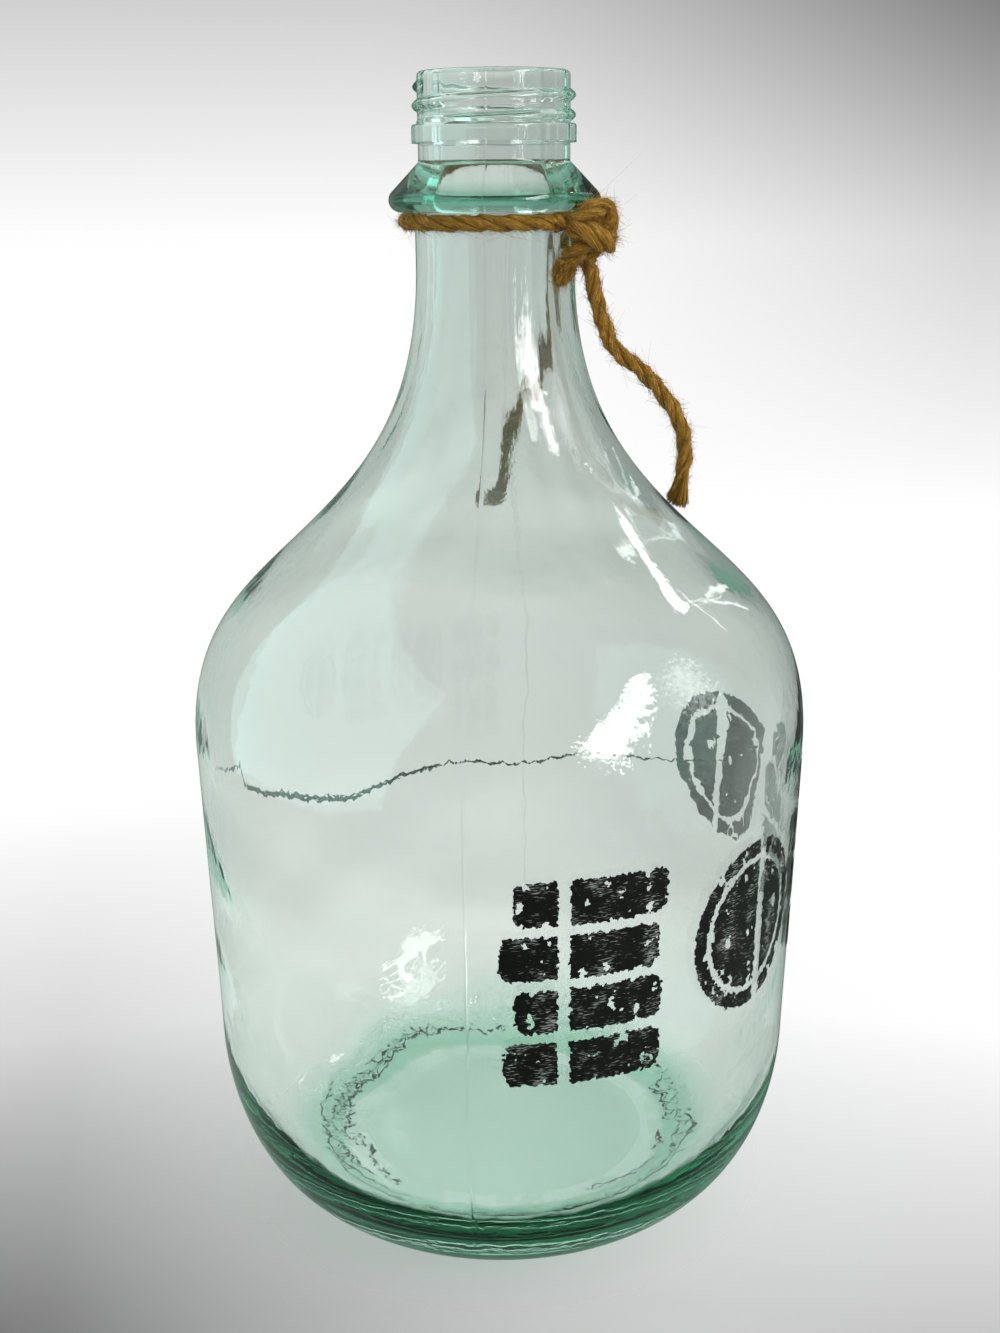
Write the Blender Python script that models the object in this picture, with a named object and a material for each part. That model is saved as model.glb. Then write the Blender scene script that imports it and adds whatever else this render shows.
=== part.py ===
"""Glass coin bank jug: a moulded four-litre glass jug with a jute twine tied round its neck.

Metres, +Z up. The origin is the middle of the foot, on the surface that the jug stands on, and the
jug's own axis is +Z. The heights are stacked: each stretch of the jug starts where the one below ends.
The camera side of the jug is -Y, and azimuths are counted from there towards +X.
"""

import math

import bmesh
import bpy
from mathutils import Vector
from mathutils.geometry import interpolate_bezier

# Facets
TURN_STEPS = 72
CURVE_STEPS = 7
CORNER_STEPS = 3
SHARP_ANGLE = math.radians(40.0)

# Outside of the jug, from the foot upwards
FOOT_RADIUS = 0.0536
BEARING_WIDTH = 0.0085
PUSH_UP_HEIGHT = 0.0032
HEEL_TOP_RADIUS = 0.0886
HEEL_HEIGHT = 0.055
BODY_RADIUS = 0.0914
BODY_RISE = 0.093
SHOULDER_TURN_RADIUS = 0.0616
SHOULDER_RISE = 0.056
SHOULDER_LEAN = math.radians(47.5)
NECK_RADIUS = 0.0224
FLARE_RISE = 0.080
NECK_RISE = 0.014
COLLAR_OVERHANG = 0.0072
COLLAR_LIP_DEPTH = 0.0064
COLLAR_CONE_RISE = 0.0069
COLLAR_LIP_TURN = math.radians(38.0)
COLLAR_ROOT_FILLET = 0.0008
THROAT_RISE = 0.0049
BAND_PROUD = 0.0017
BAND_RISE = 0.0050
BAND_ROUND = 0.0008
FINISH_RISE = 0.0138
LIP_ROUND = 0.0013

# How far each half of the shoulder's ogee keeps the direction that it starts and ends with
SHOULDER_HANDLE_SHARES = (0.46, 0.36)
FLARE_HANDLE_SHARES = (0.34, 0.46)

# Glass thickness and the bore of the mouth
MOUTH_RADIUS = 0.0166
MOUTH_ROUND = 0.0009
FINISH_WALL = 0.0045
NECK_WALL = 0.0042
SHOULDER_WALL = 0.0036
BODY_WALL = 0.0032
BASE_THICKNESS = 0.0090
FLOOR_RADIUS = 0.0505

# Twine
TWINE_DIAMETER = 0.0044
BIGHT_DIAMETER = 0.0058
SEAT_GAP = 0.0003
LOOP_STEPS = 44
KNOT_AZIMUTH = math.radians(53.0)
KNOT_HALF_SHARE = 1.28
KNOT_STRAND_SHARE = 1.12
WRAP_STRAND_SHARE = 1.35
SQUARE_LENGTH = 0.0008
ROUTE_HANDLE_SHARE = 1 / 3

# The strands of the knot, in twine diameters from the knot's middle: sideways, outwards, upwards.
# The over strand comes from the near end of the loop, rises into the top bight beside the collar,
# and runs down the outer side into the front end. The under strand comes from the far end of the
# loop, passes below the over strand and folds back in the low bight. The wrap is the turn that binds
# both, and the back strand leaves the knot's inner side as the back end.
KNOT_MIDDLE_SHARES = (1.38, -0.72)
OVER_STRAND_SHARES = (
    (-0.60, -1.00, 0.76),
    (-0.62, 0.00, 0.95),
    (-0.15, 0.66, 1.45),
    (0.56, 0.96, 1.60),
    (1.02, 0.98, 1.05),
    (1.05, 0.80, 0.20),
    (0.80, 0.35, -0.60),
    (0.38, -0.20, -1.20),
)
UNDER_STRAND_SHARES = (
    (0.60, -1.00, 0.48),
    (0.45, -0.15, -0.18),
    (-0.27, 0.25, -0.64),
    (-0.74, -0.02, -0.95),
)
WRAP_SHARES = (
    (-0.56, -0.33, 0.30),
    (-0.76, 0.58, 0.14),
    (-0.29, 1.15, -0.27),
    (0.55, 1.15, -0.55),
    (1.14, 0.58, -0.23),
    (1.02, -0.23, 0.36),
    (0.35, -0.69, 0.64),
)
BACK_STRAND_SHARES = (
    (0.10, -0.10, -0.25),
    (0.65, -0.75, -0.42),
    (1.20, -1.30, -0.46),
)

# The two free ends of the twine, from the knot to their bare tips, and the low bight between them.
# The points are metres from the jug's axis at the height of the loop.
TAIL_ROUTE = (
    (0.0256, -0.0162, -0.0112),
    (0.0268, -0.0164, -0.0166),
    (0.0281, -0.0167, -0.0222),
    (0.0299, -0.0172, -0.0278),
    (0.0318, -0.0171, -0.0325),
    (0.0346, -0.0170, -0.0359),
    (0.0378, -0.0169, -0.0381),
    (0.0419, -0.0170, -0.0415),
    (0.0466, -0.0170, -0.0471),
    (0.0502, -0.0164, -0.0524),
    (0.0524, -0.0151, -0.0582),
    (0.0531, -0.0139, -0.0644),
    (0.0526, -0.0125, -0.0709),
    (0.0515, -0.0112, -0.0784),
)
BACK_END_ROUTE = (
    (0.0237, -0.0086, -0.0052),
    (0.0247, -0.0044, -0.0053),
    (0.0250, 0.0000, -0.0057),
    (0.0247, 0.0041, -0.0064),
    (0.0237, 0.0079, -0.0078),
    (0.0223, 0.0113, -0.0106),
    (0.0208, 0.0139, -0.0148),
    (0.0200, 0.0155, -0.0198),
    (0.0193, 0.0172, -0.0255),
    (0.0187, 0.0193, -0.0320),
    (0.0172, 0.0228, -0.0395),
    (0.0148, 0.0268, -0.0460),
    (0.0115, 0.0308, -0.0515),
    (0.0076, 0.0346, -0.0567),
    (0.0046, 0.0390, -0.0630),
    (0.0030, 0.0448, -0.0705),
    (0.0020, 0.0520, -0.0785),
    (0.0005, 0.0603, -0.0865),
    (-0.0022, 0.0684, -0.0940),
)
TAIL_STEP = 0.0052
BIGHT_ROUTE = (
    (0.0197, -0.0192, -0.0100),
    (0.0191, -0.0187, -0.0117),
    (0.0186, -0.0183, -0.0132),
    (0.0182, -0.0181, -0.0144),
    (0.0180, -0.0180, -0.0153),
)
BIGHT_SHARES = (1.0, 1.0, 0.94, 0.74, 0.42)

# Heights that follow from the sizes above
body_height = HEEL_HEIGHT + BODY_RISE
shoulder_height = body_height + SHOULDER_RISE
flare_height = shoulder_height + FLARE_RISE
collar_height = flare_height + NECK_RISE
cone_height = collar_height + COLLAR_LIP_DEPTH
throat_height = cone_height + COLLAR_CONE_RISE
band_height = throat_height + THROAT_RISE
band_top_height = band_height + BAND_RISE
jug_height = band_top_height + FINISH_RISE

# Radii that follow from the sizes above
finish_radius = MOUTH_RADIUS + FINISH_WALL
band_radius = finish_radius + BAND_PROUD
collar_radius = NECK_RADIUS + COLLAR_OVERHANG
bearing_inner_radius = FOOT_RADIUS - BEARING_WIDTH
twine_radius = TWINE_DIAMETER / 2
loop_radius = NECK_RADIUS + SEAT_GAP + twine_radius
loop_height = collar_height - SEAT_GAP - twine_radius
knot_half_angle = KNOT_HALF_SHARE * TWINE_DIAMETER / loop_radius

# Points closer than this are one point
merge_distance = SEAT_GAP / TURN_STEPS


def clear_scene():
    """Removes whatever the open file holds."""
    for old in list(bpy.data.objects):
        bpy.data.objects.remove(old, do_unlink=True)


def principled(name, colour, roughness, transmission=0.0, ior=1.5):
    """A Principled material of one colour."""
    material = bpy.data.materials.new(name)
    material.use_nodes = True
    shader = material.node_tree.nodes["Principled BSDF"]
    shader.inputs["Base Color"].default_value = (*colour, 1.0)
    shader.inputs["Roughness"].default_value = roughness
    shader.inputs["Metallic"].default_value = 0.0
    shader.inputs["Transmission Weight"].default_value = transmission
    shader.inputs["IOR"].default_value = ior
    material.diffuse_color = (*colour, 1.0)
    return material


def add_object(name, mesh, material, parent=None):
    """Links a mesh or a curve to the scene as a named object."""
    piece = bpy.data.objects.new(name, mesh)
    piece.data.materials.append(material)
    bpy.context.scene.collection.objects.link(piece)
    piece.parent = parent
    return piece


def hide_as_cutter(piece):
    """Keeps a cutter or a fused strand out of the finished model."""
    piece.hide_render = True
    piece.display_type = "WIRE"


def elliptic_corner(centre, reach, start, end, steps):
    """Points on an ellipse about centre, whose half axes are reach, between two angles."""
    points = []
    for step in range(steps + 1):
        angle = start + (end - start) * step / steps
        radius = centre[0] + reach[0] * math.cos(angle)
        height = centre[1] + reach[1] * math.sin(angle)
        points.append((radius, height))
    return points


def bezier_stretch(start, start_way, end, end_way, shares, steps):
    """A cubic curve between two points of a profile, with a direction given at each end."""
    start, end = Vector((*start, 0.0)), Vector((*end, 0.0))
    span = (end - start).length
    first = start + Vector((*start_way, 0.0)) * span * shares[0]
    second = end - Vector((*end_way, 0.0)) * span * shares[1]
    return [(point.x, point.y) for point in interpolate_bezier(start, first, second, end, steps + 1)]


def ogee(low, turn, high, steps):
    """The shoulder: a convex curve up to its turning point, then a concave flare into the neck."""
    lean_way = (-math.sin(SHOULDER_LEAN), math.cos(SHOULDER_LEAN))
    up = (0.0, 1.0)
    convex = bezier_stretch(low, up, turn, lean_way, SHOULDER_HANDLE_SHARES, steps)
    concave = bezier_stretch(turn, lean_way, high, up, FLARE_HANDLE_SHARES, steps)
    return convex[:-1] + concave


def dome(radius, base, rise, steps):
    """A shallow crown from the axis out to a radius, where it meets the base height."""
    points = []
    for step in range(steps + 1):
        share = step / steps
        points.append((radius * share, base + rise * (1 - share * share)))
    return points


def collar_outline(grow):
    """The neck, the conical collar and the throat above it, each grown outwards by a clearance."""
    neck = NECK_RADIUS + grow
    fillet = COLLAR_ROOT_FILLET
    half_lip = COLLAR_LIP_DEPTH / 2
    tip = collar_radius + grow
    root = elliptic_corner((neck + fillet, collar_height - grow - fillet), (fillet, fillet),
                           math.pi, math.pi / 2, CORNER_STEPS)
    lip = elliptic_corner((tip - half_lip, collar_height + half_lip), (half_lip, half_lip + grow),
                          -math.pi / 2, COLLAR_LIP_TURN, 2 * CORNER_STEPS)
    cone_top = (finish_radius + grow, throat_height + grow)
    return [(neck, flare_height), *root, *lip, cone_top]


def outer_outline():
    """The outside of the jug from the middle of its base up to the top of its lip."""
    outline = dome(bearing_inner_radius, 0.0, PUSH_UP_HEIGHT, CORNER_STEPS + 1)
    heel_reach = (HEEL_TOP_RADIUS - FOOT_RADIUS, HEEL_HEIGHT)
    outline += elliptic_corner((FOOT_RADIUS, HEEL_HEIGHT), heel_reach, -math.pi / 2, 0.0, CURVE_STEPS + 2)
    outline += ogee((BODY_RADIUS, body_height), (SHOULDER_TURN_RADIUS, shoulder_height),
                    (NECK_RADIUS, flare_height), CURVE_STEPS)
    outline += collar_outline(0.0)[1:]
    outline += [(finish_radius, band_height), (band_radius, band_height)]
    outline += elliptic_corner((band_radius - BAND_ROUND, band_top_height - BAND_ROUND),
                               (BAND_ROUND, BAND_ROUND), 0.0, math.pi / 2, CORNER_STEPS)
    outline.append((finish_radius, band_top_height))
    outline += elliptic_corner((finish_radius - LIP_ROUND, jug_height - LIP_ROUND),
                               (LIP_ROUND, LIP_ROUND), 0.0, math.pi / 2, CORNER_STEPS)
    return outline


def inner_outline():
    """The inside of the jug from the lip down to the middle of its floor."""
    neck_bore = NECK_RADIUS - NECK_WALL
    turn = (SHOULDER_TURN_RADIUS - SHOULDER_WALL * math.cos(SHOULDER_LEAN),
            shoulder_height - SHOULDER_WALL * math.sin(SHOULDER_LEAN))
    side = HEEL_TOP_RADIUS - BODY_WALL
    heel_reach = (side - FLOOR_RADIUS, HEEL_HEIGHT - BASE_THICKNESS)
    upwards = dome(FLOOR_RADIUS, BASE_THICKNESS, PUSH_UP_HEIGHT, CORNER_STEPS + 1)[:-1]
    upwards += elliptic_corner((FLOOR_RADIUS, HEEL_HEIGHT), heel_reach, -math.pi / 2, 0.0, CURVE_STEPS)
    upwards += ogee((BODY_RADIUS - BODY_WALL, body_height), turn, (neck_bore, flare_height), CURVE_STEPS - 1)
    upwards += [(neck_bore, collar_height), (MOUTH_RADIUS, throat_height)]
    upwards += elliptic_corner((MOUTH_RADIUS + MOUTH_ROUND, jug_height - MOUTH_ROUND),
                               (MOUTH_ROUND, MOUTH_ROUND), math.pi, math.pi / 2, CORNER_STEPS - 1)
    return upwards[::-1]


def turned_mesh(name, outline):
    """Turns an outline of (radius, height) points about the jug's axis into one closed mesh."""
    work = bmesh.new()
    corners = [work.verts.new((radius, 0.0, height)) for radius, height in outline]
    edges = [work.edges.new(pair) for pair in zip(corners, corners[1:])]
    bmesh.ops.spin(work, geom=corners + edges, cent=(0.0, 0.0, 0.0), axis=(0.0, 0.0, 1.0),
                   angle=math.tau, steps=TURN_STEPS, use_merge=True)
    bmesh.ops.remove_doubles(work, verts=work.verts, dist=merge_distance)
    bmesh.ops.recalc_face_normals(work, faces=work.faces)
    mesh = bpy.data.meshes.new(name)
    work.to_mesh(mesh)
    work.free()
    mesh.shade_smooth()
    mesh.set_sharp_from_angle(angle=SHARP_ANGLE)
    return mesh


def smooth_route(points, step, closed=False):
    """Points a step apart, or a little less, on a smooth curve through the points of a route."""
    points = [Vector(point) for point in points]
    if closed:
        padded = [points[-1], *points, points[0], points[1]]
    else:
        padded = [2 * points[0] - points[1], *points, 2 * points[-1] - points[-2]]
    route = []
    for before, start, end, after in zip(padded, padded[1:], padded[2:], padded[3:]):
        span = (end - start).length
        first = start + (end - before).normalized() * span * ROUTE_HANDLE_SHARE
        second = end - (after - start).normalized() * span * ROUTE_HANDLE_SHARE
        count = math.ceil(span / step)
        route += interpolate_bezier(start, first, second, end, count + 1)[:-1]
    return route if closed else route + [points[-1]]


def twine_curve(name, points, radius, shares=None, closed=False):
    """A round tube along the points, with both ends closed unless it is a ring."""
    curve = bpy.data.curves.new(name, "CURVE")
    curve.dimensions = "3D"
    curve.bevel_depth = radius
    curve.bevel_resolution = 2
    curve.use_fill_caps = not closed
    spline = curve.splines.new("POLY")
    spline.points.add(len(points) - 1)
    spline.use_cyclic_u = closed
    for spot, point, share in zip(spline.points, points, shares or [1.0] * len(points)):
        spot.co = (*point, 1.0)
        spot.radius = share
    return curve


def curve_mesh(curve):
    """The mesh of a tube, closed, for fusing and cutting."""
    helper = bpy.data.objects.new(curve.name, curve)
    bpy.context.scene.collection.objects.link(helper)
    bpy.context.view_layer.update()
    seen = helper.evaluated_get(bpy.context.evaluated_depsgraph_get())
    mesh = bpy.data.meshes.new_from_object(seen)
    bpy.data.objects.remove(helper, do_unlink=True)
    work = bmesh.new()
    work.from_mesh(mesh)
    bmesh.ops.remove_doubles(work, verts=work.verts, dist=merge_distance)
    bmesh.ops.recalc_face_normals(work, faces=work.faces)
    work.to_mesh(mesh)
    work.free()
    return mesh


def combine(target, other, operation):
    """Adds an exact Boolean to the target and hides the piece that it uses."""
    step = target.modifiers.new(operation.lower() + "_" + other.name, "BOOLEAN")
    step.operation = operation
    step.solver = "EXACT"
    step.object = other
    hide_as_cutter(other)


def loop_point(azimuth):
    """A point on the middle line of the turn round the neck."""
    return Vector((loop_radius * math.sin(azimuth), -loop_radius * math.cos(azimuth), 0.0))


def loop_route():
    """The turn round the neck, open at the knot, with a short straight start at each end."""
    start = KNOT_AZIMUTH + knot_half_angle
    span = math.tau - 2 * knot_half_angle
    lead = SQUARE_LENGTH / loop_radius
    turns = [start + span * step / LOOP_STEPS for step in range(LOOP_STEPS + 1)]
    turns[1:1] = [turns[0] + lead]
    turns[-1:-1] = [turns[-1] - lead]
    return [loop_point(turn) for turn in turns]


def knot_point(shares):
    """Turns a strand's point, in twine diameters, into a place beside the neck."""
    outwards = Vector((math.sin(KNOT_AZIMUTH), -math.cos(KNOT_AZIMUTH), 0.0))
    sideways = Vector((math.cos(KNOT_AZIMUTH), math.sin(KNOT_AZIMUTH), 0.0))
    upwards = Vector((0.0, 0.0, 1.0))
    middle = outwards * (loop_radius + KNOT_MIDDLE_SHARES[0] * TWINE_DIAMETER)
    middle += upwards * KNOT_MIDDLE_SHARES[1] * TWINE_DIAMETER
    aside, out, up = (share * TWINE_DIAMETER for share in shares)
    return middle + sideways * aside + outwards * out + upwards * up


def strand_route(shares, free_end):
    """The middle line of a strand, from the end of the loop on its side to the start of a free end."""
    side = math.copysign(1.0, shares[0][0])
    turns = [knot_half_angle - back / loop_radius for back in (SEAT_GAP, SEAT_GAP + SQUARE_LENGTH)]
    entry = [loop_point(KNOT_AZIMUTH + side * turn) for turn in turns]
    middle = [knot_point(share) for share in shares]
    return smooth_route([*entry, *middle, *way_out(free_end)], twine_radius)


def way_out(free_end):
    """The last two points of a strand, which meet a free end squarely with a small gap."""
    return [lengthened(free_end, back)[0] for back in (SEAT_GAP + SQUARE_LENGTH, SEAT_GAP)]


def back_strand_route():
    """The middle line of the strand that leaves the knot's inner side towards the back."""
    middle = [knot_point(share) for share in BACK_STRAND_SHARES]
    return smooth_route([*middle, *way_out(BACK_END_ROUTE)], twine_radius)


def lengthened(points, extra):
    """The points with their first one moved back, straight, by an extra length."""
    start, following = Vector(points[0]), Vector(points[1])
    return [start + (start - following).normalized() * extra, *points[1:]]


def build_jug(glass):
    """The one-piece glass jug with its real walls and open mouth."""
    mesh = turned_mesh("glass_jug", outer_outline() + inner_outline())
    return add_object("glass_jug", mesh, glass)


def build_loop(jute, parent):
    """The turn of twine under the collar."""
    curve = twine_curve("twine_neck_loop", loop_route(), twine_radius)
    return add_object("twine_neck_loop", curve, jute, parent)


def build_knot(jute, parent):
    """The knot: four strands fused, then cut clear of the neck and the collar."""
    radius = twine_radius * KNOT_STRAND_SHARE
    strands = (
        twine_curve("twine_knot", strand_route(OVER_STRAND_SHARES, TAIL_ROUTE), radius),
        twine_curve("knot_under_strand", strand_route(UNDER_STRAND_SHARES, BIGHT_ROUTE), radius),
        twine_curve("knot_wrap", wrap_route(), twine_radius * WRAP_STRAND_SHARE, closed=True),
        twine_curve("knot_back_strand", back_strand_route(), twine_radius),
    )
    knot, *others = [add_object(curve.name, curve_mesh(curve), jute, parent) for curve in strands]
    for strand in others:
        combine(knot, strand, "UNION")
    rim = [(reach, height - loop_height) for reach, height in collar_outline(SEAT_GAP)]
    room = turned_mesh("knot_glass_room", [(0.0, rim[0][1]), *rim, (0.0, rim[-1][1])])
    combine(knot, add_object(room.name, room, jute, parent), "DIFFERENCE")
    return knot


def wrap_route():
    """The middle line of the closed turn that binds the two strands."""
    return smooth_route([knot_point(share) for share in WRAP_SHARES], twine_radius, closed=True)


def build_ends(jute, parent):
    """The free end in front, the free end behind the neck, and the low bight of the knot."""
    for name, route in (("twine_tail", TAIL_ROUTE), ("twine_back_end", BACK_END_ROUTE)):
        add_object(name, twine_curve(name, smooth_route(route, TAIL_STEP), twine_radius), jute, parent)
    bight = twine_curve("twine_bight", BIGHT_ROUTE, BIGHT_DIAMETER / 2, BIGHT_SHARES)
    add_object("twine_bight", bight, jute, parent)


def main():
    clear_scene()
    glass = principled("pale_green_glass", (0.60, 0.72, 0.65), 0.03, transmission=1.0, ior=1.52)
    jute = principled("jute_twine", (0.32, 0.18, 0.055), 0.85)
    turn_axis = bpy.data.objects.new("twine_turn_axis", None)
    turn_axis.location = (0.0, 0.0, loop_height)
    bpy.context.scene.collection.objects.link(turn_axis)
    build_jug(glass)
    build_loop(jute, turn_axis)
    build_knot(jute, turn_axis)
    build_ends(jute, turn_axis)


main()
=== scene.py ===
import math

import bmesh
import bpy
import numpy as np
from mathutils import Matrix, Vector


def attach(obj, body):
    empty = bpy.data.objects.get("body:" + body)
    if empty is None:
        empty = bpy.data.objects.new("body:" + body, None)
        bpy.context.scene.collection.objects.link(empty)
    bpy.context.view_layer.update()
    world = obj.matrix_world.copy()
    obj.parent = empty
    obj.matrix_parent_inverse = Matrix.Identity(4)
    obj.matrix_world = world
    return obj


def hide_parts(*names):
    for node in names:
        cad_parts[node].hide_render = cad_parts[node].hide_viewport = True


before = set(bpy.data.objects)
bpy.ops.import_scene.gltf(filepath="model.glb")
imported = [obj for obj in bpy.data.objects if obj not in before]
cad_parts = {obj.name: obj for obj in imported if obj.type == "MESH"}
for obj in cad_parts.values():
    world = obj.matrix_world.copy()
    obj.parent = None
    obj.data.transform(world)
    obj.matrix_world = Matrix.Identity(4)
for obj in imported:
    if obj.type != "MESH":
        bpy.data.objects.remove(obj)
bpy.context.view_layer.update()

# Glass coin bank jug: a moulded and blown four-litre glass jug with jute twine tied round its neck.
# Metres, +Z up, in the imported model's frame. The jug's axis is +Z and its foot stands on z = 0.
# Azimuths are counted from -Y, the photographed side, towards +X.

rng = np.random.default_rng(4)

# Camera, for an image of 1000 by 1333 pixels
IMAGE_HEIGHT = 1333
FOCAL_PIXELS = 1654.9
SENSOR = 36.0
CAMERA_PLACE = (0.0003, -0.480, 0.309)
CAMERA_PITCH = math.radians(16.7)
CAMERA_ROLL = math.radians(-0.53)

# Outside of the jug, as in the CAD model
FOOT_RADIUS = 0.0536
BEARING_WIDTH = 0.0085
PUSH_UP_HEIGHT = 0.0032
HEEL_TOP_RADIUS = 0.0886
HEEL_HEIGHT = 0.055
BODY_RADIUS = 0.0914
BODY_HEIGHT = 0.148
SHOULDER_TURN_RADIUS = 0.0616
SHOULDER_HEIGHT = 0.204
SHOULDER_LEAN = math.radians(47.5)
NECK_RADIUS = 0.0224
FLARE_HEIGHT = 0.284
COLLAR_HEIGHT = 0.298
COLLAR_RADIUS = 0.0296
COLLAR_LIP_DEPTH = 0.0064
COLLAR_LIP_TURN = math.radians(38.0)
COLLAR_ROOT_FILLET = 0.0008
THROAT_HEIGHT = 0.3113
FINISH_RADIUS = 0.0211
BAND_HEIGHT = 0.3162
BAND_TOP_HEIGHT = 0.3212
BAND_PROUD = 0.0017
BAND_ROUND = 0.0008
JUG_HEIGHT = 0.335
LIP_ROUND = 0.0013
SHOULDER_HANDLE_SHARES = (0.46, 0.36)
FLARE_HANDLE_SHARES = (0.34, 0.46)

# Inside of the jug
MOUTH_RADIUS = 0.0166
MOUTH_ROUND = 0.0009
NECK_WALL = 0.0042
SHOULDER_WALL = 0.0036
BODY_WALL = 0.0032
BASE_THICKNESS = 0.0090
FLOOR_RADIUS = 0.0505

# The moulded thread: where it starts, how far it climbs in a turn, and its round ridge
THREAD_START_AZIMUTH = math.radians(-90.0)
THREAD_TOP = 0.3312
THREAD_PITCH = 0.0052
THREAD_TURNS = 2.0
THREAD_PROUD = 0.0015
THREAD_HALF_WIDTH = 0.0017
THREAD_START_SHARE = 0.02
THREAD_END_SHARE = 0.12

# The two seams of the mould's halves, as hairline ridges
SEAM_AZIMUTHS = (math.radians(-6.0), math.radians(174.0))
SEAM_PROUD = 0.00012
SEAM_HALF_WIDTH = 0.00028
SEAM_COLUMN_ANGLES = tuple(math.radians(step) for step in (0.06, 0.14, 0.25, 0.45, 0.8))

# Twine
TWINE_DIAMETER = 0.0044
SEAT_GAP = 0.0003
TWINE_LAY = 0.022
PLY_RADIUS_SHARE = 0.58
TWINE_COLUMNS = 36
TWINE_RING_STEP = 0.00035
KNOT_AZIMUTH = math.radians(53.0)
KNOT_HALF_SHARE = 1.28
KNOT_MIDDLE_SHARES = (1.38, -0.72)
OVER_STRAND_SHARES = (
    (-0.60, -1.00, 0.76),
    (-0.62, 0.00, 0.95),
    (-0.15, 0.66, 1.45),
    (0.56, 0.96, 1.60),
    (1.02, 0.98, 1.05),
    (1.05, 0.80, 0.20),
    (0.80, 0.35, -0.60),
    (0.38, -0.20, -1.20),
)
UNDER_STRAND_SHARES = (
    (0.60, -1.00, 0.48),
    (0.45, -0.15, -0.18),
    (-0.27, 0.25, -0.64),
    (-0.74, -0.02, -0.95),
)
WRAP_SHARES = (
    (-0.56, -0.33, 0.30),
    (-0.76, 0.58, 0.14),
    (-0.29, 1.15, -0.27),
    (0.55, 1.15, -0.55),
    (1.14, 0.58, -0.23),
    (1.02, -0.23, 0.36),
    (0.35, -0.69, 0.64),
)
BACK_STRAND_SHARES = (
    (0.10, -0.10, -0.25),
    (0.65, -0.75, -0.42),
    (1.20, -1.30, -0.46),
)
KNOT_CORE_SHARES = (
    (-0.35, 0.25, 0.55),
    (0.10, 0.45, 0.20),
    (0.50, 0.40, -0.35),
)
TAIL_ROUTE = (
    (0.0256, -0.0162, -0.0112),
    (0.0268, -0.0164, -0.0166),
    (0.0281, -0.0167, -0.0222),
    (0.0299, -0.0172, -0.0278),
    (0.0318, -0.0171, -0.0325),
    (0.0346, -0.0170, -0.0359),
    (0.0378, -0.0169, -0.0381),
    (0.0419, -0.0170, -0.0415),
    (0.0466, -0.0170, -0.0471),
    (0.0502, -0.0164, -0.0524),
    (0.0524, -0.0151, -0.0582),
    (0.0531, -0.0139, -0.0644),
    (0.0526, -0.0125, -0.0709),
    (0.0515, -0.0112, -0.0784),
)
BACK_END_ROUTE = (
    (0.0237, -0.0086, -0.0052),
    (0.0247, -0.0044, -0.0053),
    (0.0250, 0.0000, -0.0057),
    (0.0247, 0.0041, -0.0064),
    (0.0237, 0.0079, -0.0078),
    (0.0223, 0.0113, -0.0106),
    (0.0208, 0.0139, -0.0148),
    (0.0200, 0.0155, -0.0198),
    (0.0193, 0.0172, -0.0255),
    (0.0187, 0.0193, -0.0320),
    (0.0172, 0.0228, -0.0395),
    (0.0148, 0.0268, -0.0460),
    (0.0115, 0.0308, -0.0515),
    (0.0076, 0.0346, -0.0567),
    (0.0046, 0.0390, -0.0630),
    (0.0030, 0.0448, -0.0705),
    (0.0020, 0.0520, -0.0785),
    (0.0005, 0.0603, -0.0865),
    (-0.0022, 0.0684, -0.0940),
)
BIGHT_ROUTE = (
    (0.0197, -0.0192, -0.0100),
    (0.0191, -0.0187, -0.0117),
    (0.0186, -0.0183, -0.0132),
    (0.0182, -0.0181, -0.0144),
    (0.0180, -0.0180, -0.0153),
)
BIGHT_STRAND_RADIUS = 0.0019
BIGHT_HALF_WIDTH = 0.0016
# Down along the bight and across it, as shares of its length and of its half width
BIGHT_SHARES = ((0.0, 1.0), (0.5, 1.05), (0.85, 0.75), (1.0, 0.0), (0.85, -0.75), (0.5, -1.05), (0.0, -1.0))
BRUSH_FIBRE_RADIUS = 0.00011
BRUSH_FLATNESS = 0.55
BRUSH_UNEVEN_LENGTH = 0.0012
LOOP_RADIUS = NECK_RADIUS + SEAT_GAP + TWINE_DIAMETER / 2
LOOP_HEIGHT = COLLAR_HEIGHT - SEAT_GAP - TWINE_DIAMETER / 2


def colour(text):
    """Turns an sRGB hex value into the linear colour that Blender's sockets hold."""
    shares = [int(text[start:start + 2], 16) / 255 for start in (1, 3, 5)]
    linear = [share / 12.92 if share <= 0.04045 else ((share + 0.055) / 1.055) ** 2.4 for share in shares]
    return (*linear, 1.0)


def add(tree, kind, inputs=None, **settings):
    """Adds a node with its settings. An input is a value, or another node's output to link from."""
    node = tree.nodes.new("ShaderNode" + kind)
    for name, value in settings.items():
        setattr(node, name, value)
    for key, value in (inputs or {}).items():
        if isinstance(value, bpy.types.NodeSocket):
            tree.links.new(value, node.inputs[key])
        else:
            node.inputs[key].default_value = value
    return node


def maths(tree, operation, *values):
    """A sum on values that are numbers or other nodes' outputs."""
    return add(tree, "Math", dict(enumerate(values)), operation=operation).outputs[0]


def blend(tree, share, first, second, kind="MIX"):
    """Two colours mixed, with a share of the second one."""
    return add(tree, "MixRGB", {"Fac": share, "Color1": first, "Color2": second}, blend_type=kind).outputs[0]


def times(tree, first, *others):
    """The product of values that are numbers or other nodes' outputs."""
    for other in others:
        first = maths(tree, "MULTIPLY", first, other)
    return first


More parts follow.
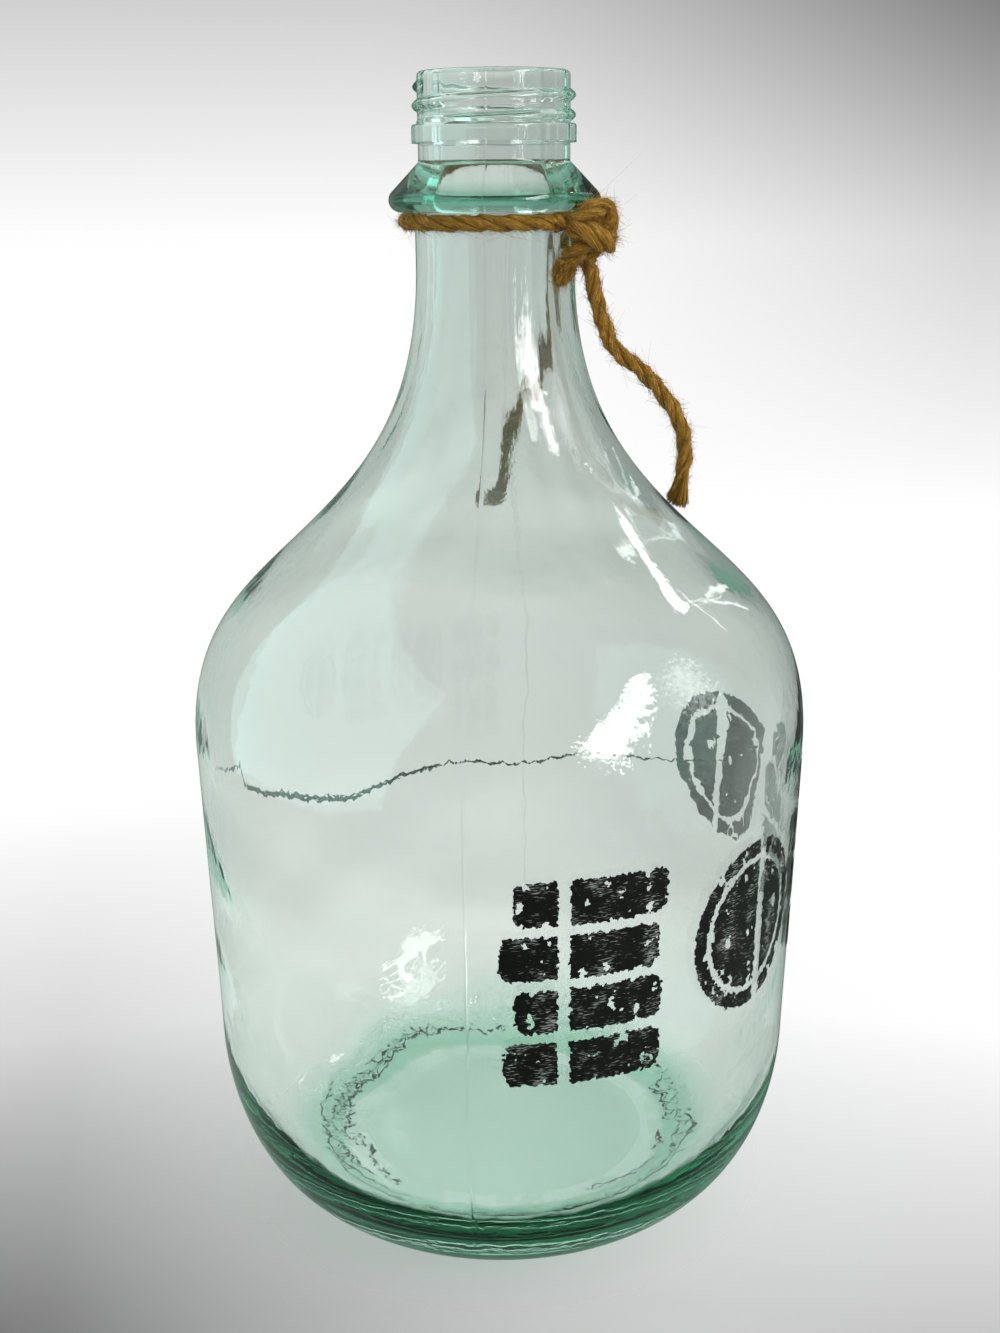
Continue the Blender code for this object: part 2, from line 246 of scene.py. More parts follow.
def remap(tree, value, low, high, start=0.0, end=1.0, smooth=True):
    """start where a value is low and end where it is high, with a smooth or an even change between."""
    limits = {"Value": value, "From Min": low, "From Max": high, "To Min": start, "To Max": end}
    return add(tree, "MapRange", limits, interpolation_type="SMOOTHSTEP" if smooth else "LINEAR").outputs[0]


def noise(tree, place, scale, detail, roughness=0.5, output="Fac"):
    """Noise whose largest features are 1 / scale metres apart."""
    inputs = {"Vector": place, "Scale": scale, "Detail": detail, "Roughness": roughness}
    return add(tree, "TexNoise", inputs).outputs[output]


def raised(tree, height, distance, strength=1.0, below=None):
    """A surface normal, tilted as if height 1 stood a distance in metres proud, over another normal."""
    node = add(tree, "Bump", {"Height": height, "Strength": strength, "Distance": distance})
    if below:
        tree.links.new(below, node.inputs["Normal"])
    return node.outputs["Normal"]


def vector(tree, operation, *places):
    """A vector sum, on places that are vectors or other nodes' outputs."""
    node = add(tree, "VectorMath", dict(enumerate(places)), operation=operation)
    return node.outputs["Value" if operation in ("LENGTH", "DOT_PRODUCT") else "Vector"]


def shades(tree, value, first, last, *between):
    """A colour ramp over a value through stops, each a (place, sRGB hex value)."""
    node = add(tree, "ValToRGB", {"Fac": value})
    elements = node.color_ramp.elements
    for element, (place, text) in zip(elements, (first, last)):
        element.position, element.color = place, colour(text)
    for place, text in between:
        elements.new(place).color = colour(text)
    return node.outputs[0]


def new_material(name):
    """An empty node material and its tree."""
    material = bpy.data.materials.new(name)
    material.use_nodes = True
    material.node_tree.nodes.clear()
    return material, material.node_tree


def finish_material(tree, surface, volume=None):
    """Links the last shader, and the volume inside, to the material's output."""
    output = add(tree, "OutputMaterial", {"Surface": surface})
    if volume:
        tree.links.new(volume, output.inputs["Volume"])


# Soda-lime container glass, blown in a mould and fire polished. Iron leaves it a pale bluish green that
# the thin walls hardly show and the thick heel, collar and finish show strongly. The faint grey of the
# skin is painted shade that dims all the light that comes through the glass.
GLASS_IOR = 1.52
GLASS_SKIN_SHADE = "#EFF0EE"
GLASS_FLOOR = "#D6E9DF"
GLASS_COLLAR = "#64AC94"
GLASS_HEEL = "#94CEB4"
GLASS_ABSORPTION = {"Color": (0.43, 0.76, 0.63, 1.0), "Density": 31.0}
GLASS_SHADOW = "#F6FAF8"
# The oval where the floor's green ends: its middle and its half axes
FLOOR_OVAL_MIDDLE = (0.001, 0.003)
FLOOR_OVAL_HALF_AXES = (0.061, 0.069)
FOLD_HEIGHT = 0.0005
DRAW_LINE_HEIGHT = 0.00003


def glass_material():
    """Clear glass that absorbs light along its way inside, with a faint tint of its skin, a grey of painted
    shade, that deepens on the floor, round the collar's rim and at the foot of the heel."""
    material, tree = new_material("soda_lime_glass_fire_polished")
    place = add(tree, "TexCoord").outputs["Object"]
    level = add(tree, "SeparateXYZ", {0: place}).outputs["Z"]
    # Orange peel of the cooled skin, about 6 mm from crest to crest
    bump = raised(tree, noise(tree, place, 160.0, 1.0), 0.001, 0.05)
    # Fine upright draw lines about 1 mm apart in the neck, where the parison was stretched
    upright = add(tree, "Mapping", {"Vector": place, "Scale": (1000.0, 1000.0, 40.0)}).outputs[0]
    in_neck = remap(tree, level, 0.19, 0.24, smooth=False)
    below_collar = remap(tree, level, 0.31, 0.30, smooth=False)
    lines = times(tree, noise(tree, upright, 1.0, 2.0), in_neck, below_collar)
    bump = raised(tree, lines, DRAW_LINE_HEIGHT, below=bump)
    # The floor inside is the deepest glass, and its green ends at a ragged oval of chilled folds
    ragged = vector(tree, "ADD", noise(tree, place, 190.0, 3.0, output="Color"), (-0.5, -0.5, -0.5))
    ragged = vector(tree, "MULTIPLY_ADD", ragged, (0.008, 0.008, 0.0), place)
    x, y = FLOOR_OVAL_MIDDLE
    ragged = vector(tree, "ADD", ragged, (-x, -y, 0.0))
    half_x, half_y = FLOOR_OVAL_HALF_AXES
    away = vector(tree, "LENGTH", vector(tree, "MULTIPLY", ragged, (1 / half_x, 1 / half_y, 0.0)))
    low = remap(tree, level, 0.024, 0.019, smooth=False)
    deep = times(tree, remap(tree, away, 1.14, 0.94), low)
    # The skin's faint grey is painted shade over all the glass
    tint = blend(tree, deep, colour(GLASS_SKIN_SHADE), colour(GLASS_FLOOR))
    # The folds stand up from the floor in a ring about 3 mm wide
    off_ring = maths(tree, "ADD", away, -1.0)
    off_ring = maths(tree, "ABSOLUTE", off_ring)
    fold = times(tree, remap(tree, off_ring, 0.03, 0.0, smooth=False), low)
    bump = raised(tree, fold, FOLD_HEIGHT, below=bump)
    # Light that runs round inside the collar's thick rim comes out a deep green
    reach = vector(tree, "LENGTH", vector(tree, "MULTIPLY", place, (1.0, 1.0, 0.0)))
    rim = remap(tree, reach, 0.0255, 0.0294, smooth=False)
    rim = times(tree, rim, remap(tree, level, 0.2960, 0.2975, smooth=False))
    tint = blend(tree, rim, tint, colour(GLASS_COLLAR))
    # The same in the thick heel, seen through its outside
    outer = add(tree, "Attribute", attribute_name="outer_skin").outputs["Fac"]
    heel = times(tree, remap(tree, level, 0.015, 0.0), outer)
    tint = blend(tree, heel, tint, colour(GLASS_HEEL))
    glass = add(tree, "BsdfPrincipled", {
        "Base Color": tint, "Roughness": 0.0, "IOR": GLASS_IOR, "Transmission Weight": 1.0, "Normal": bump})
    clear = add(tree, "BsdfTransparent", {"Color": colour(GLASS_SHADOW)})
    shadow = add(tree, "LightPath").outputs["Is Shadow Ray"]
    surface = add(tree, "MixShader", {"Fac": shadow, 1: glass.outputs[0], 2: clear.outputs[0]})
    inside = add(tree, "VolumeAbsorption", GLASS_ABSORPTION)
    finish_material(tree, surface.outputs[0], inside.outputs[0])
    return material


# Three-ply jute twine: long bast fibres, loosely twisted, unbleached golden brown, with a dull sheen
def jute_material():
    material, tree = new_material("jute_twine_three_ply")
    place = add(tree, "Attribute", attribute_name="fibre_place").outputs["Vector"]
    depth = add(tree, "Attribute", attribute_name="ply_height").outputs["Fac"]
    # Bundles of fibres show as lines 0.3 mm apart that dive under their neighbours after some 5 mm; a
    # single fibre of 0.05 mm is too fine to show
    stretched = add(tree, "Mapping", {"Vector": place, "Scale": (200.0, 3300.0, 3300.0)}).outputs[0]
    bundles = noise(tree, stretched, 1.0, 4.0, 0.6)
    tint = shades(tree, bundles, (0.30, "#5E3C06"), (0.70, "#C49D55"), (0.5, "#906A22"))
    broad = noise(tree, place, 330.0, 1.0)
    tint = blend(tree, 0.3, tint, broad, "OVERLAY")
    # Where two plies meet, the grooves are darkened: painted shade in the creases between the plies
    groove_shade = remap(tree, depth, 0.66, 0.80, smooth=False)
    tint = blend(tree, groove_shade, colour("#553503"), tint)
    jute = add(tree, "BsdfPrincipled", {
        "Base Color": tint, "Roughness": 0.85, "Specular IOR Level": 0.2, "Sheen Weight": 0.06,
        "Sheen Roughness": 0.5, "Normal": raised(tree, bundles, 0.00025, 0.8)})
    finish_material(tree, jute.outputs[0])
    return material


# Stencil enamel dabbed on with a stiff brush: matt black, with fine brush scratches that show paler; their
# pale grey is painted light, standing for the glass and the light behind it where the enamel is worn through
def paint_material():
    material, tree = new_material("stencil_enamel_brushed")
    place = add(tree, "Attribute", attribute_name="mark_place").outputs["Vector"]
    # Bristle scratches in two directions, about 0.25 mm wide and 2.5 mm long, thicker in some patches
    ways = []
    for turn in (0.75, -0.55):
        strokes = add(tree, "Mapping", {"Vector": place, "Rotation": (0.0, 0.0, turn), "Scale": (400.0, 4000.0, 1.0)})
        ways.append(noise(tree, strokes.outputs[0], 1.0, 1.0))
    scratches = maths(tree, "MAXIMUM", ways[0], ways[1])
    patches = noise(tree, place, 130.0, 1.0)
    scratches = maths(tree, "MULTIPLY_ADD", patches, 0.5, scratches)
    # The scratches are real wear; their pale grey is painted light from the glass behind them
    tint = shades(tree, scratches, (0.91, "#0A0B09"), (0.99, "#97A19B"))
    paint = add(tree, "BsdfPrincipled", {
        "Base Color": tint, "Roughness": 0.6, "Specular IOR Level": 0.25,
        "Normal": raised(tree, scratches, 0.0002, 0.3)})
    finish_material(tree, paint.outputs[0])
    return material


# Chill marks: folds where hot glass touched the cold mould, which trap light and look dark green. The folds
# are real; their dark green on these opaque ribbons is painted shade
def chill_material():
    material, tree = new_material("chilled_glass_fold_painted_shade")
    place = add(tree, "TexCoord").outputs["Object"]
    # Painted shade: the folds' dark green
    tint = shades(tree, noise(tree, place, 900.0, 1.0), (0.35, "#23362E"), (0.75, "#5F7C6E"))
    fold = add(tree, "BsdfPrincipled", {"Base Color": tint, "Roughness": 0.3})
    finish_material(tree, fold.outputs[0])
    return material


def run_along(points):
    """How far along a line each of its points lies."""
    return np.concatenate([[0.0], np.cumsum(np.linalg.norm(np.diff(points, axis=0), axis=1))])


def unit(ways):
    """The directions of an array at length 1."""
    return ways / np.linalg.norm(ways, axis=-1, keepdims=True)


def cubic(start, first, second, end, t):
    """Points at the shares t of a cubic curve with two handles."""
    return (1 - t) ** 3 * start + 3 * (1 - t) ** 2 * t * first + 3 * (1 - t) * t ** 2 * second + t ** 3 * end


def round_z(radius, azimuth, height):
    """Points (..., axis) at radii, azimuths and heights round the jug's axis."""
    return np.stack([radius * np.sin(azimuth), -radius * np.cos(azimuth), height], axis=-1)


def store(mesh, name, values):
    """Keeps a number or a place for each point of a mesh under a name that its material reads."""
    kind, key = ("FLOAT", "value") if values.ndim == 1 else ("FLOAT_VECTOR", "vector")
    attribute = mesh.attributes.new(name, kind, "POINT")
    attribute.data.foreach_set(key, values.astype(np.float32).ravel())


def tube(rings, closed=False, used=0):
    """Points and faces of a tube through rings, an array (ring, column, axis), counted on from the
    points used before. Columns close on themselves. A closed tube's last ring meets its first, and an
    open one ends in fans to the mean of each end ring."""
    ring_count, column_count = rings.shape[:2]
    end = ring_count * column_count + used
    index = np.arange(used, end).reshape(ring_count, column_count)
    after = np.roll(index, -1, axis=1)
    above = (np.roll(after, -1, axis=0), np.roll(index, -1, axis=0))
    quads = np.stack([index, after, *above], axis=-1)[:ring_count if closed else -1]
    points, faces = [rings.reshape(-1, 3)], quads.reshape(-1, 4).tolist()
    if not closed:
        points += [rings[0].mean(axis=0)[None], rings[-1].mean(axis=0)[None]]
        faces += np.stack([np.full(column_count, end), after[0], index[0]], axis=-1).tolist()
        faces += np.stack([np.full(column_count, end + 1), index[-1], after[-1]], axis=-1).tolist()
    return np.concatenate(points), faces


def mesh_from(name, points, faces):
    """A smooth mesh whose faces point outwards."""
    mesh = bpy.data.meshes.new(name)
    mesh.from_pydata(points.tolist(), [], faces)
    work = bmesh.new()
    work.from_mesh(mesh)
    bmesh.ops.recalc_face_normals(work, faces=work.faces)
    work.to_mesh(mesh)
    work.free()
    mesh.shade_smooth()
    return mesh


def add_object(name, data):
    """Puts a mesh, a lamp or a camera in the scene."""
    holder = bpy.data.objects.new(name, data)
    bpy.context.scene.collection.objects.link(holder)
    return holder


def add_piece(name, mesh, material, body, slot, *nodes):
    """Links a mesh as a piece that rides on a body and stands for CAD nodes."""
    piece = add_object(name, mesh)
    mesh.materials.append(material)
    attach(piece, body)
    if nodes:
        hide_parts(*nodes)
    return piece


def arc(centre, reach, start, end, count):
    """Points on an ellipse about a centre, with half axes reach, from one angle to another."""
    turn = np.linspace(start, end, count)
    return np.stack([centre[0] + reach[0] * np.cos(turn), centre[1] + reach[1] * np.sin(turn)], axis=1)


def bezier(start, start_way, end, end_way, shares, count):
    """A cubic curve: each end point holds its direction for a share of the span."""
    start, end = np.array(start), np.array(end)
    span = np.linalg.norm(end - start)
    first = start + np.array(start_way) * span * shares[0]
    second = end - np.array(end_way) * span * shares[1]
    return cubic(start, first, second, end, np.linspace(0.0, 1.0, count)[:, None])


def straight(start, end, count):
    """Points from start to end, evenly spaced."""
    return np.linspace(start, end, count)


def join(stretches):
    """One outline from stretches that meet: each one after the first leaves out its first point."""
    return np.concatenate([stretches[0]] + [stretch[1:] for stretch in stretches[1:]])


def outer_outline():
    """Outside of the jug from near the axis under the base up to the inner edge of the lip: a dome for
    the push-up, an elliptic heel, an ogee shoulder, and straight and round stretches above it."""
    bearing = FOOT_RADIUS - BEARING_WIDTH
    reach = np.linspace(0.02, 1.0, 8)
    push_up = np.stack([bearing * reach, PUSH_UP_HEIGHT * (1 - reach ** 2)], axis=1)
    lean = (-math.sin(SHOULDER_LEAN), math.cos(SHOULDER_LEAN))
    turn = (SHOULDER_TURN_RADIUS, SHOULDER_HEIGHT)
    fillet = COLLAR_ROOT_FILLET
    half_lip = COLLAR_LIP_DEPTH / 2
    lip = arc((COLLAR_RADIUS - half_lip, COLLAR_HEIGHT + half_lip), (half_lip, half_lip),
              -math.pi / 2, COLLAR_LIP_TURN, 18)
    band_radius = FINISH_RADIUS + BAND_PROUD
    return join([
        push_up,
        straight((bearing, 0.0), (FOOT_RADIUS, 0.0), 4),
        arc((FOOT_RADIUS, HEEL_HEIGHT), (HEEL_TOP_RADIUS - FOOT_RADIUS, HEEL_HEIGHT), -math.pi / 2, 0.0, 34),
        straight((HEEL_TOP_RADIUS, HEEL_HEIGHT), (BODY_RADIUS, BODY_HEIGHT), 22),
        bezier((BODY_RADIUS, BODY_HEIGHT), (0.0, 1.0), turn, lean, SHOULDER_HANDLE_SHARES, 28),
        bezier(turn, lean, (NECK_RADIUS, FLARE_HEIGHT), (0.0, 1.0), FLARE_HANDLE_SHARES, 34),
        straight((NECK_RADIUS, FLARE_HEIGHT), (NECK_RADIUS, COLLAR_HEIGHT - fillet), 6),
        arc((NECK_RADIUS + fillet, COLLAR_HEIGHT - fillet), (fillet, fillet), math.pi, math.pi / 2, 5),
        straight((NECK_RADIUS + fillet, COLLAR_HEIGHT), lip[0], 4),
        lip,
        straight(lip[-1], (FINISH_RADIUS, THROAT_HEIGHT), 9),
        straight((FINISH_RADIUS, THROAT_HEIGHT), (FINISH_RADIUS, BAND_HEIGHT), 8),
        straight((FINISH_RADIUS, BAND_HEIGHT), (band_radius, BAND_HEIGHT), 5),
        straight((band_radius, BAND_HEIGHT), (band_radius, BAND_TOP_HEIGHT - BAND_ROUND), 8),
        arc((band_radius - BAND_ROUND, BAND_TOP_HEIGHT - BAND_ROUND), (BAND_ROUND, BAND_ROUND),
            0.0, math.pi / 2, 6),
        straight((band_radius - BAND_ROUND, BAND_TOP_HEIGHT), (FINISH_RADIUS, BAND_TOP_HEIGHT), 4),
        straight((FINISH_RADIUS, BAND_TOP_HEIGHT), (FINISH_RADIUS, JUG_HEIGHT - LIP_ROUND), 52),
        arc((FINISH_RADIUS - LIP_ROUND, JUG_HEIGHT - LIP_ROUND), (LIP_ROUND, LIP_ROUND), 0.0, math.pi / 2, 8),
    ])


def inner_outline():
    """Inside of the jug from the inner edge of the lip down to near the axis on its floor."""
    neck_bore = NECK_RADIUS - NECK_WALL
    turn = (SHOULDER_TURN_RADIUS - SHOULDER_WALL * math.cos(SHOULDER_LEAN),
            SHOULDER_HEIGHT - SHOULDER_WALL * math.sin(SHOULDER_LEAN))
    lean = (-math.sin(SHOULDER_LEAN), math.cos(SHOULDER_LEAN))
    side = HEEL_TOP_RADIUS - BODY_WALL
    reach = np.linspace(0.02, 1.0, 10)
    floor = np.stack([FLOOR_RADIUS * reach, BASE_THICKNESS + PUSH_UP_HEIGHT * (1 - reach ** 2)], axis=1)
    upwards = join([
        floor,
        arc((FLOOR_RADIUS, HEEL_HEIGHT), (side - FLOOR_RADIUS, HEEL_HEIGHT - BASE_THICKNESS),
            -math.pi / 2, 0.0, 26),
        straight((side, HEEL_HEIGHT), (BODY_RADIUS - BODY_WALL, BODY_HEIGHT), 18),
        bezier((BODY_RADIUS - BODY_WALL, BODY_HEIGHT), (0.0, 1.0), turn, lean, SHOULDER_HANDLE_SHARES, 22),
        bezier(turn, lean, (neck_bore, FLARE_HEIGHT), (0.0, 1.0), FLARE_HANDLE_SHARES, 24),
        straight((neck_bore, FLARE_HEIGHT), (neck_bore, COLLAR_HEIGHT), 5),
        straight((neck_bore, COLLAR_HEIGHT), (MOUTH_RADIUS, THROAT_HEIGHT), 6),
        straight((MOUTH_RADIUS, THROAT_HEIGHT), (MOUTH_RADIUS, JUG_HEIGHT - MOUTH_ROUND), 14),
        arc((MOUTH_RADIUS + MOUTH_ROUND, JUG_HEIGHT - MOUTH_ROUND), (MOUTH_ROUND, MOUTH_ROUND),
            math.pi, math.pi / 2, 6),
    ])
    return upwards[::-1]


def jug_azimuths():
    """Even columns round the jug, with more of them where the hairline seams need them."""
    even = np.linspace(-math.pi, math.pi, 216, endpoint=False)
    close = [seam + side * step for seam in SEAM_AZIMUTHS for side in (-1, 1) for step in SEAM_COLUMN_ANGLES]
    columns = np.concatenate([even, close, SEAM_AZIMUTHS])
    return np.unique((columns + math.pi) % math.tau - math.pi)


def thread_ridge(azimuth, height):
    """How far the thread stands proud: a full round ridge, a power of a cosine across its width, that
    falls by one pitch a turn from its rounded start on the left until it runs into the band."""
    proud = np.zeros(np.broadcast(azimuth, height).shape)
    first_turn = ((THREAD_START_AZIMUTH - azimuth) / math.tau) % 1.0
    for lap in range(int(THREAD_TURNS) + 1):
        turn = first_turn + lap
        across = (height - (THREAD_TOP - THREAD_PITCH * turn)) / THREAD_HALF_WIDTH
        ends = np.clip(turn / THREAD_START_SHARE, 0, 1) * np.clip((THREAD_TURNS - turn) / THREAD_END_SHARE, 0, 1)
        ridge = np.cos(np.clip(across, -1, 1) * math.pi / 2) ** 0.9
        proud = np.maximum(proud, ridge * THREAD_PROUD * np.sin(ends * math.pi / 2))
    return proud


def waves(azimuth, run, count, turns, per_metre, height):
    """A sum of sine waves over the azimuth and the run along the outline, with random phases. The waves
    round the jug are between the two counts of turns."""
    total = np.zeros(np.broadcast(azimuth, run).shape)
    for _ in range(count):
        around = rng.integers(turns[0], turns[1] + 1) * rng.choice([-1, 1])
        along = rng.uniform(0.2, 1.0) * per_metre * math.tau
        total += np.sin(around * azimuth + along * run + rng.uniform(0, math.tau)) / math.sqrt(count)
    return total * height


def jug_mesh():
    """The whole jug as one closed skin: its outline turned about the axis, then moved along its own
    normal by the thread, the seams and the gentle waves that blowing leaves, mostly on the inside."""
    outer, inner = outer_outline(), inner_outline()
    outline = join([outer, straight(outer[-1], inner[0], 4), inner])
    run = run_along(outline)[:, None]
    way = unit(np.gradient(outline, axis=0))
    normal = np.stack([way[:, 1], -way[:, 0]], axis=1)
    azimuth = jug_azimuths()[None, :]
    radius, height = outline[:, :1], outline[:, 1:]
    outside = (np.arange(len(outline)) < len(outer))[:, None]
    below_collar = np.clip((COLLAR_HEIGHT - height) / 0.02, 0, 1)
    above_foot = np.clip(height / 0.01, 0, 1)
    off_axis = np.clip(radius / 0.03 - 0.2, 0, 1)
    above_heel = np.clip(height / 0.03 - 0.4, 0.2, 1)
    proud = outside * waves(azimuth, run, 14, (0, 5), 22.0, 0.00005) * below_collar * above_foot
    inner_waves = ~outside * waves(azimuth, run, 22, (0, 7), 30.0, 0.00022)
    proud += inner_waves * below_collar * off_axis * above_heel
    # The parison's neck was drawn out lengthwise, which leaves upright streaks on its inside
    in_neck = ~outside & (height > 0.19)
    streaks = waves(azimuth, run, 16, (9, 26), 5.0, 0.00007)
    proud += in_neck * streaks * np.clip((height - 0.19) / 0.04, 0, 1)
    on_finish = outside & (height > BAND_TOP_HEIGHT - 0.004) & (height < JUG_HEIGHT - LIP_ROUND)
    proud += on_finish * np.clip(FINISH_RADIUS + thread_ridge(azimuth, height) - radius, 0, None)
    for seam in SEAM_AZIMUTHS:
        away = (azimuth - seam) * radius / SEAM_HALF_WIDTH
        proud += outside * above_foot * SEAM_PROUD * np.exp(-away ** 2)
    reach = radius + normal[:, :1] * proud
    mesh = mesh_from("jug", *tube(round_z(reach, azimuth, height + normal[:, 1:] * proud)))
    # 1 on the outside of the heel and above it, 0 on the inside and under the base
    outer_skin = np.broadcast_to(outside * np.clip((radius - FOOT_RADIUS) / 0.003, 0, 1), reach.shape).ravel()
    store(mesh, "outer_skin", np.concatenate([outer_skin, [0.0, 0.0]]))
    return mesh


def wander(place, count, longest, seed):
    """Smooth noise over a line or a surface, mostly between -1.5 and 1.5: a sum of sines in random
    directions, whose wavelengths run from a quarter of the longest up to it."""
    random = np.random.default_rng(seed)
    total = np.zeros(place.shape[:-1])
    for _ in range(count):
        way = random.normal(size=place.shape[-1])
        way *= math.tau / (longest * random.uniform(0.25, 1.0) * np.linalg.norm(way))
        total += np.sin(place @ way + random.uniform(0, math.tau))
    return total * math.sqrt(2 / count)


# Black stencil marks on the outside, in turn a stack of coins and a coin seen flat. Each is as wide and
# as tall as the marks on the real jug and stands where they do.
MARK_AZIMUTHS = tuple(math.radians(turn) for turn in (14.5, 51.0, 86.0, 120.0))
MARK_MIDDLE_HEIGHTS = (0.1045, 0.1065, 0.113, 0.118)
MARK_HALF_WIDTH = 0.0250
MARK_HALF_HEIGHT = 0.0298
MARK_STEP = 0.00045
FILM_GAP = 0.0002
BRIDGE = 0.0034
COIN_HALF_THICKNESS = 0.0064
COIN_HALF_WIDTHS = (0.0215, 0.0225, 0.0210, 0.0225)
COIN_OFFSETS = (0.0015, -0.0015, 0.0010, -0.0005)
RIM_WIDTH = 0.0045
RIM_GAP = 0.0018
STACK_BRIDGE_PLACE = -0.0065
DISC_BRIDGE_PLACE = 0.004


def rounded_bar(across, up, half_width, half_height, corner):
    """How far a point lies inside a bar with round corners."""
    aside = np.maximum(np.abs(across) - (half_width - corner), 0)
    above = np.maximum(np.abs(up) - (half_height - corner), 0)
    return corner - np.hypot(aside, above)


def coin_stack(across, up):
    """How far a point lies inside a stack of four coins seen from the side, cut by a stencil's bridge."""
    pitch = 2 * (MARK_HALF_HEIGHT - COIN_HALF_THICKNESS) / (len(COIN_OFFSETS) - 1)
    stack = np.full(across.shape, -1.0)
    for level, (offset, half_width) in enumerate(zip(COIN_OFFSETS, COIN_HALF_WIDTHS)):
        middle = MARK_HALF_HEIGHT - COIN_HALF_THICKNESS - level * pitch
        bar = rounded_bar(across - offset, up - middle, half_width, COIN_HALF_THICKNESS, 0.0035)
        stack = np.maximum(stack, bar)
    return np.minimum(stack, np.abs(across - STACK_BRIDGE_PLACE) - BRIDGE / 2)


def coin_disc(across, up):
    """How far a point lies inside a coin seen flat: a rim round a disc, cut by one upright bridge."""
    away = np.hypot(across, up)
    rim = np.minimum(MARK_HALF_WIDTH - away, away - (MARK_HALF_WIDTH - RIM_WIDTH))
    disc = MARK_HALF_WIDTH - RIM_WIDTH - RIM_GAP - away
    return np.minimum(np.maximum(rim, disc), np.abs(across - DISC_BRIDGE_PLACE) - BRIDGE / 2)


def worn(inside, across, up, seed):
    """Wears a stencil mark: edges that wander by a few tenths of a millimetre, chips a few millimetres
    long, cracks, and slanted pinholes where the enamel didn't cover."""
    place = np.stack([across, up], axis=-1)
    inside = inside + 0.00022 * wander(place, 24, 0.0040, seed) + 0.00020 * wander(place, 24, 0.0016, seed + 1)
    chips = 1.75 - wander(place * (1.0, 0.55), 30, 0.010, seed + 2) - 0.35 * wander(place, 24, 0.0022, seed + 6)
    in_patch = np.minimum(wander(place, 20, 0.03, seed + 5) - 0.9, 0)
    cracks = 0.12 - np.abs(wander(place, 24, 0.014, seed + 3)) + 1.6 * in_patch
    slant = np.stack([across + 0.8 * up, 0.28 * (up - 0.8 * across)], axis=-1)
    pinholes = 2.35 - wander(slant, 30, 0.0018, seed + 4)
    for wear in (0.0022 * chips, -0.004 * cracks, 0.0005 * pinholes):
        inside = np.minimum(inside, wear)
    return inside


def outside_radius(height):
    """The jug's outer radius at a height between the foot and the shoulder."""
    outline = outer_outline()
    side = outline[(outline[:, 1] > 0.002) & (outline[:, 1] < COLLAR_HEIGHT - 0.003)]
    return np.interp(height, side[:, 1], side[:, 0])


def mark_mesh():
    """All stencil marks as one film: a grid of small squares over each mark, of which those inside the
    worn mark stay. Points next to a dropped square move along the slope onto the mark's edge. The grid
    is then rolled round the jug's side."""
    half = np.array([MARK_HALF_WIDTH + 0.001, MARK_HALF_HEIGHT + 0.001])
    counts = np.ceil(2 * half / MARK_STEP).astype(int)
    axes = [np.linspace(-size, size, count + 1) for size, count in zip(half, counts)]
    across, up = np.meshgrid(*axes, indexing="ij")
    points, places, faces, used = [], [], [], 0
    for mark, azimuth in enumerate(MARK_AZIMUTHS):
        shape = coin_stack if mark % 2 == 0 else coin_disc
        inside = worn(shape(across, up), across, up, 11 * mark + 5)
        cells = (inside[:-1, :-1] + inside[1:, :-1] + inside[1:, 1:] + inside[:-1, 1:]) > 0
        slope = np.stack(np.gradient(inside, axes[0], axes[1]), axis=-1)
        touched = np.zeros((4,) + inside.shape, dtype=bool)
        touched[0, :-1, :-1] = touched[1, 1:, :-1] = touched[2, 1:, 1:] = touched[3, :-1, 1:] = cells
        edge = touched.any(axis=0) & ~touched.all(axis=0)
        move = -inside[..., None] * slope / np.maximum((slope ** 2).sum(axis=-1, keepdims=True), 0.05)
        move = np.clip(move, -0.5 * MARK_STEP, 0.5 * MARK_STEP) * edge[..., None]
        aside, height = across + move[..., 0], MARK_MIDDLE_HEIGHTS[mark] + up + move[..., 1]
        radius = outside_radius(height) + FILM_GAP
        turn = azimuth + aside / BODY_RADIUS
        points.append(round_z(radius, turn, height).reshape(-1, 3))
        places.append(np.stack([aside + 0.1 * mark, height, 0 * height], axis=-1).reshape(-1, 3))
        index = used + np.arange(inside.size).reshape(inside.shape)
        quads = np.stack([index[:-1, :-1], index[1:, :-1], index[1:, 1:], index[:-1, 1:]], axis=-1)
        faces.append(quads[cells])
        used += inside.size
    points, places, faces = np.concatenate(points), np.concatenate(places), np.concatenate(faces)
    kept = np.unique(faces)
    fresh = np.zeros(used, dtype=int)
    fresh[kept] = np.arange(len(kept))
    mesh = bpy.data.meshes.new("stencil_marks")
    mesh.from_pydata(points[kept].tolist(), [], fresh[faces].tolist())
    mesh.shade_smooth()
    store(mesh, "mark_place", places[kept])
    return mesh


# Chill marks. The lap line round the body: its azimuths in degrees and heights in millimetres, and the
# strands that it is made of, each from one of these places to another, with its half width and how far
# it wanders in metres, and the seed of its noise.
LAP_AZIMUTHS = (-66, -60, -56, -54, -52.5, -51, -45, -39.7, -30.9, -26, -16.3, -9.7, -5.6, 3.2, 14.8, 23.5, 35.2, 44)
LAP_HEIGHTS = (146, 149.5, 150.5, 153.3, 153.4, 148.6, 149, 150.6, 152.3, 153.7, 161.5, 164.8, 165.8, 165.2, 167,
               164.2, 160.3, 157)
LAP_STRANDS = (
    (0, 12, 0.00052, 0.0004, 61),
    (4, 11, 0.00040, 0.0004, 67),
    (5, 10, 0.00030, 0.0006, 69),
    (8, 18, 0.00024, 0.0003, 71),
)
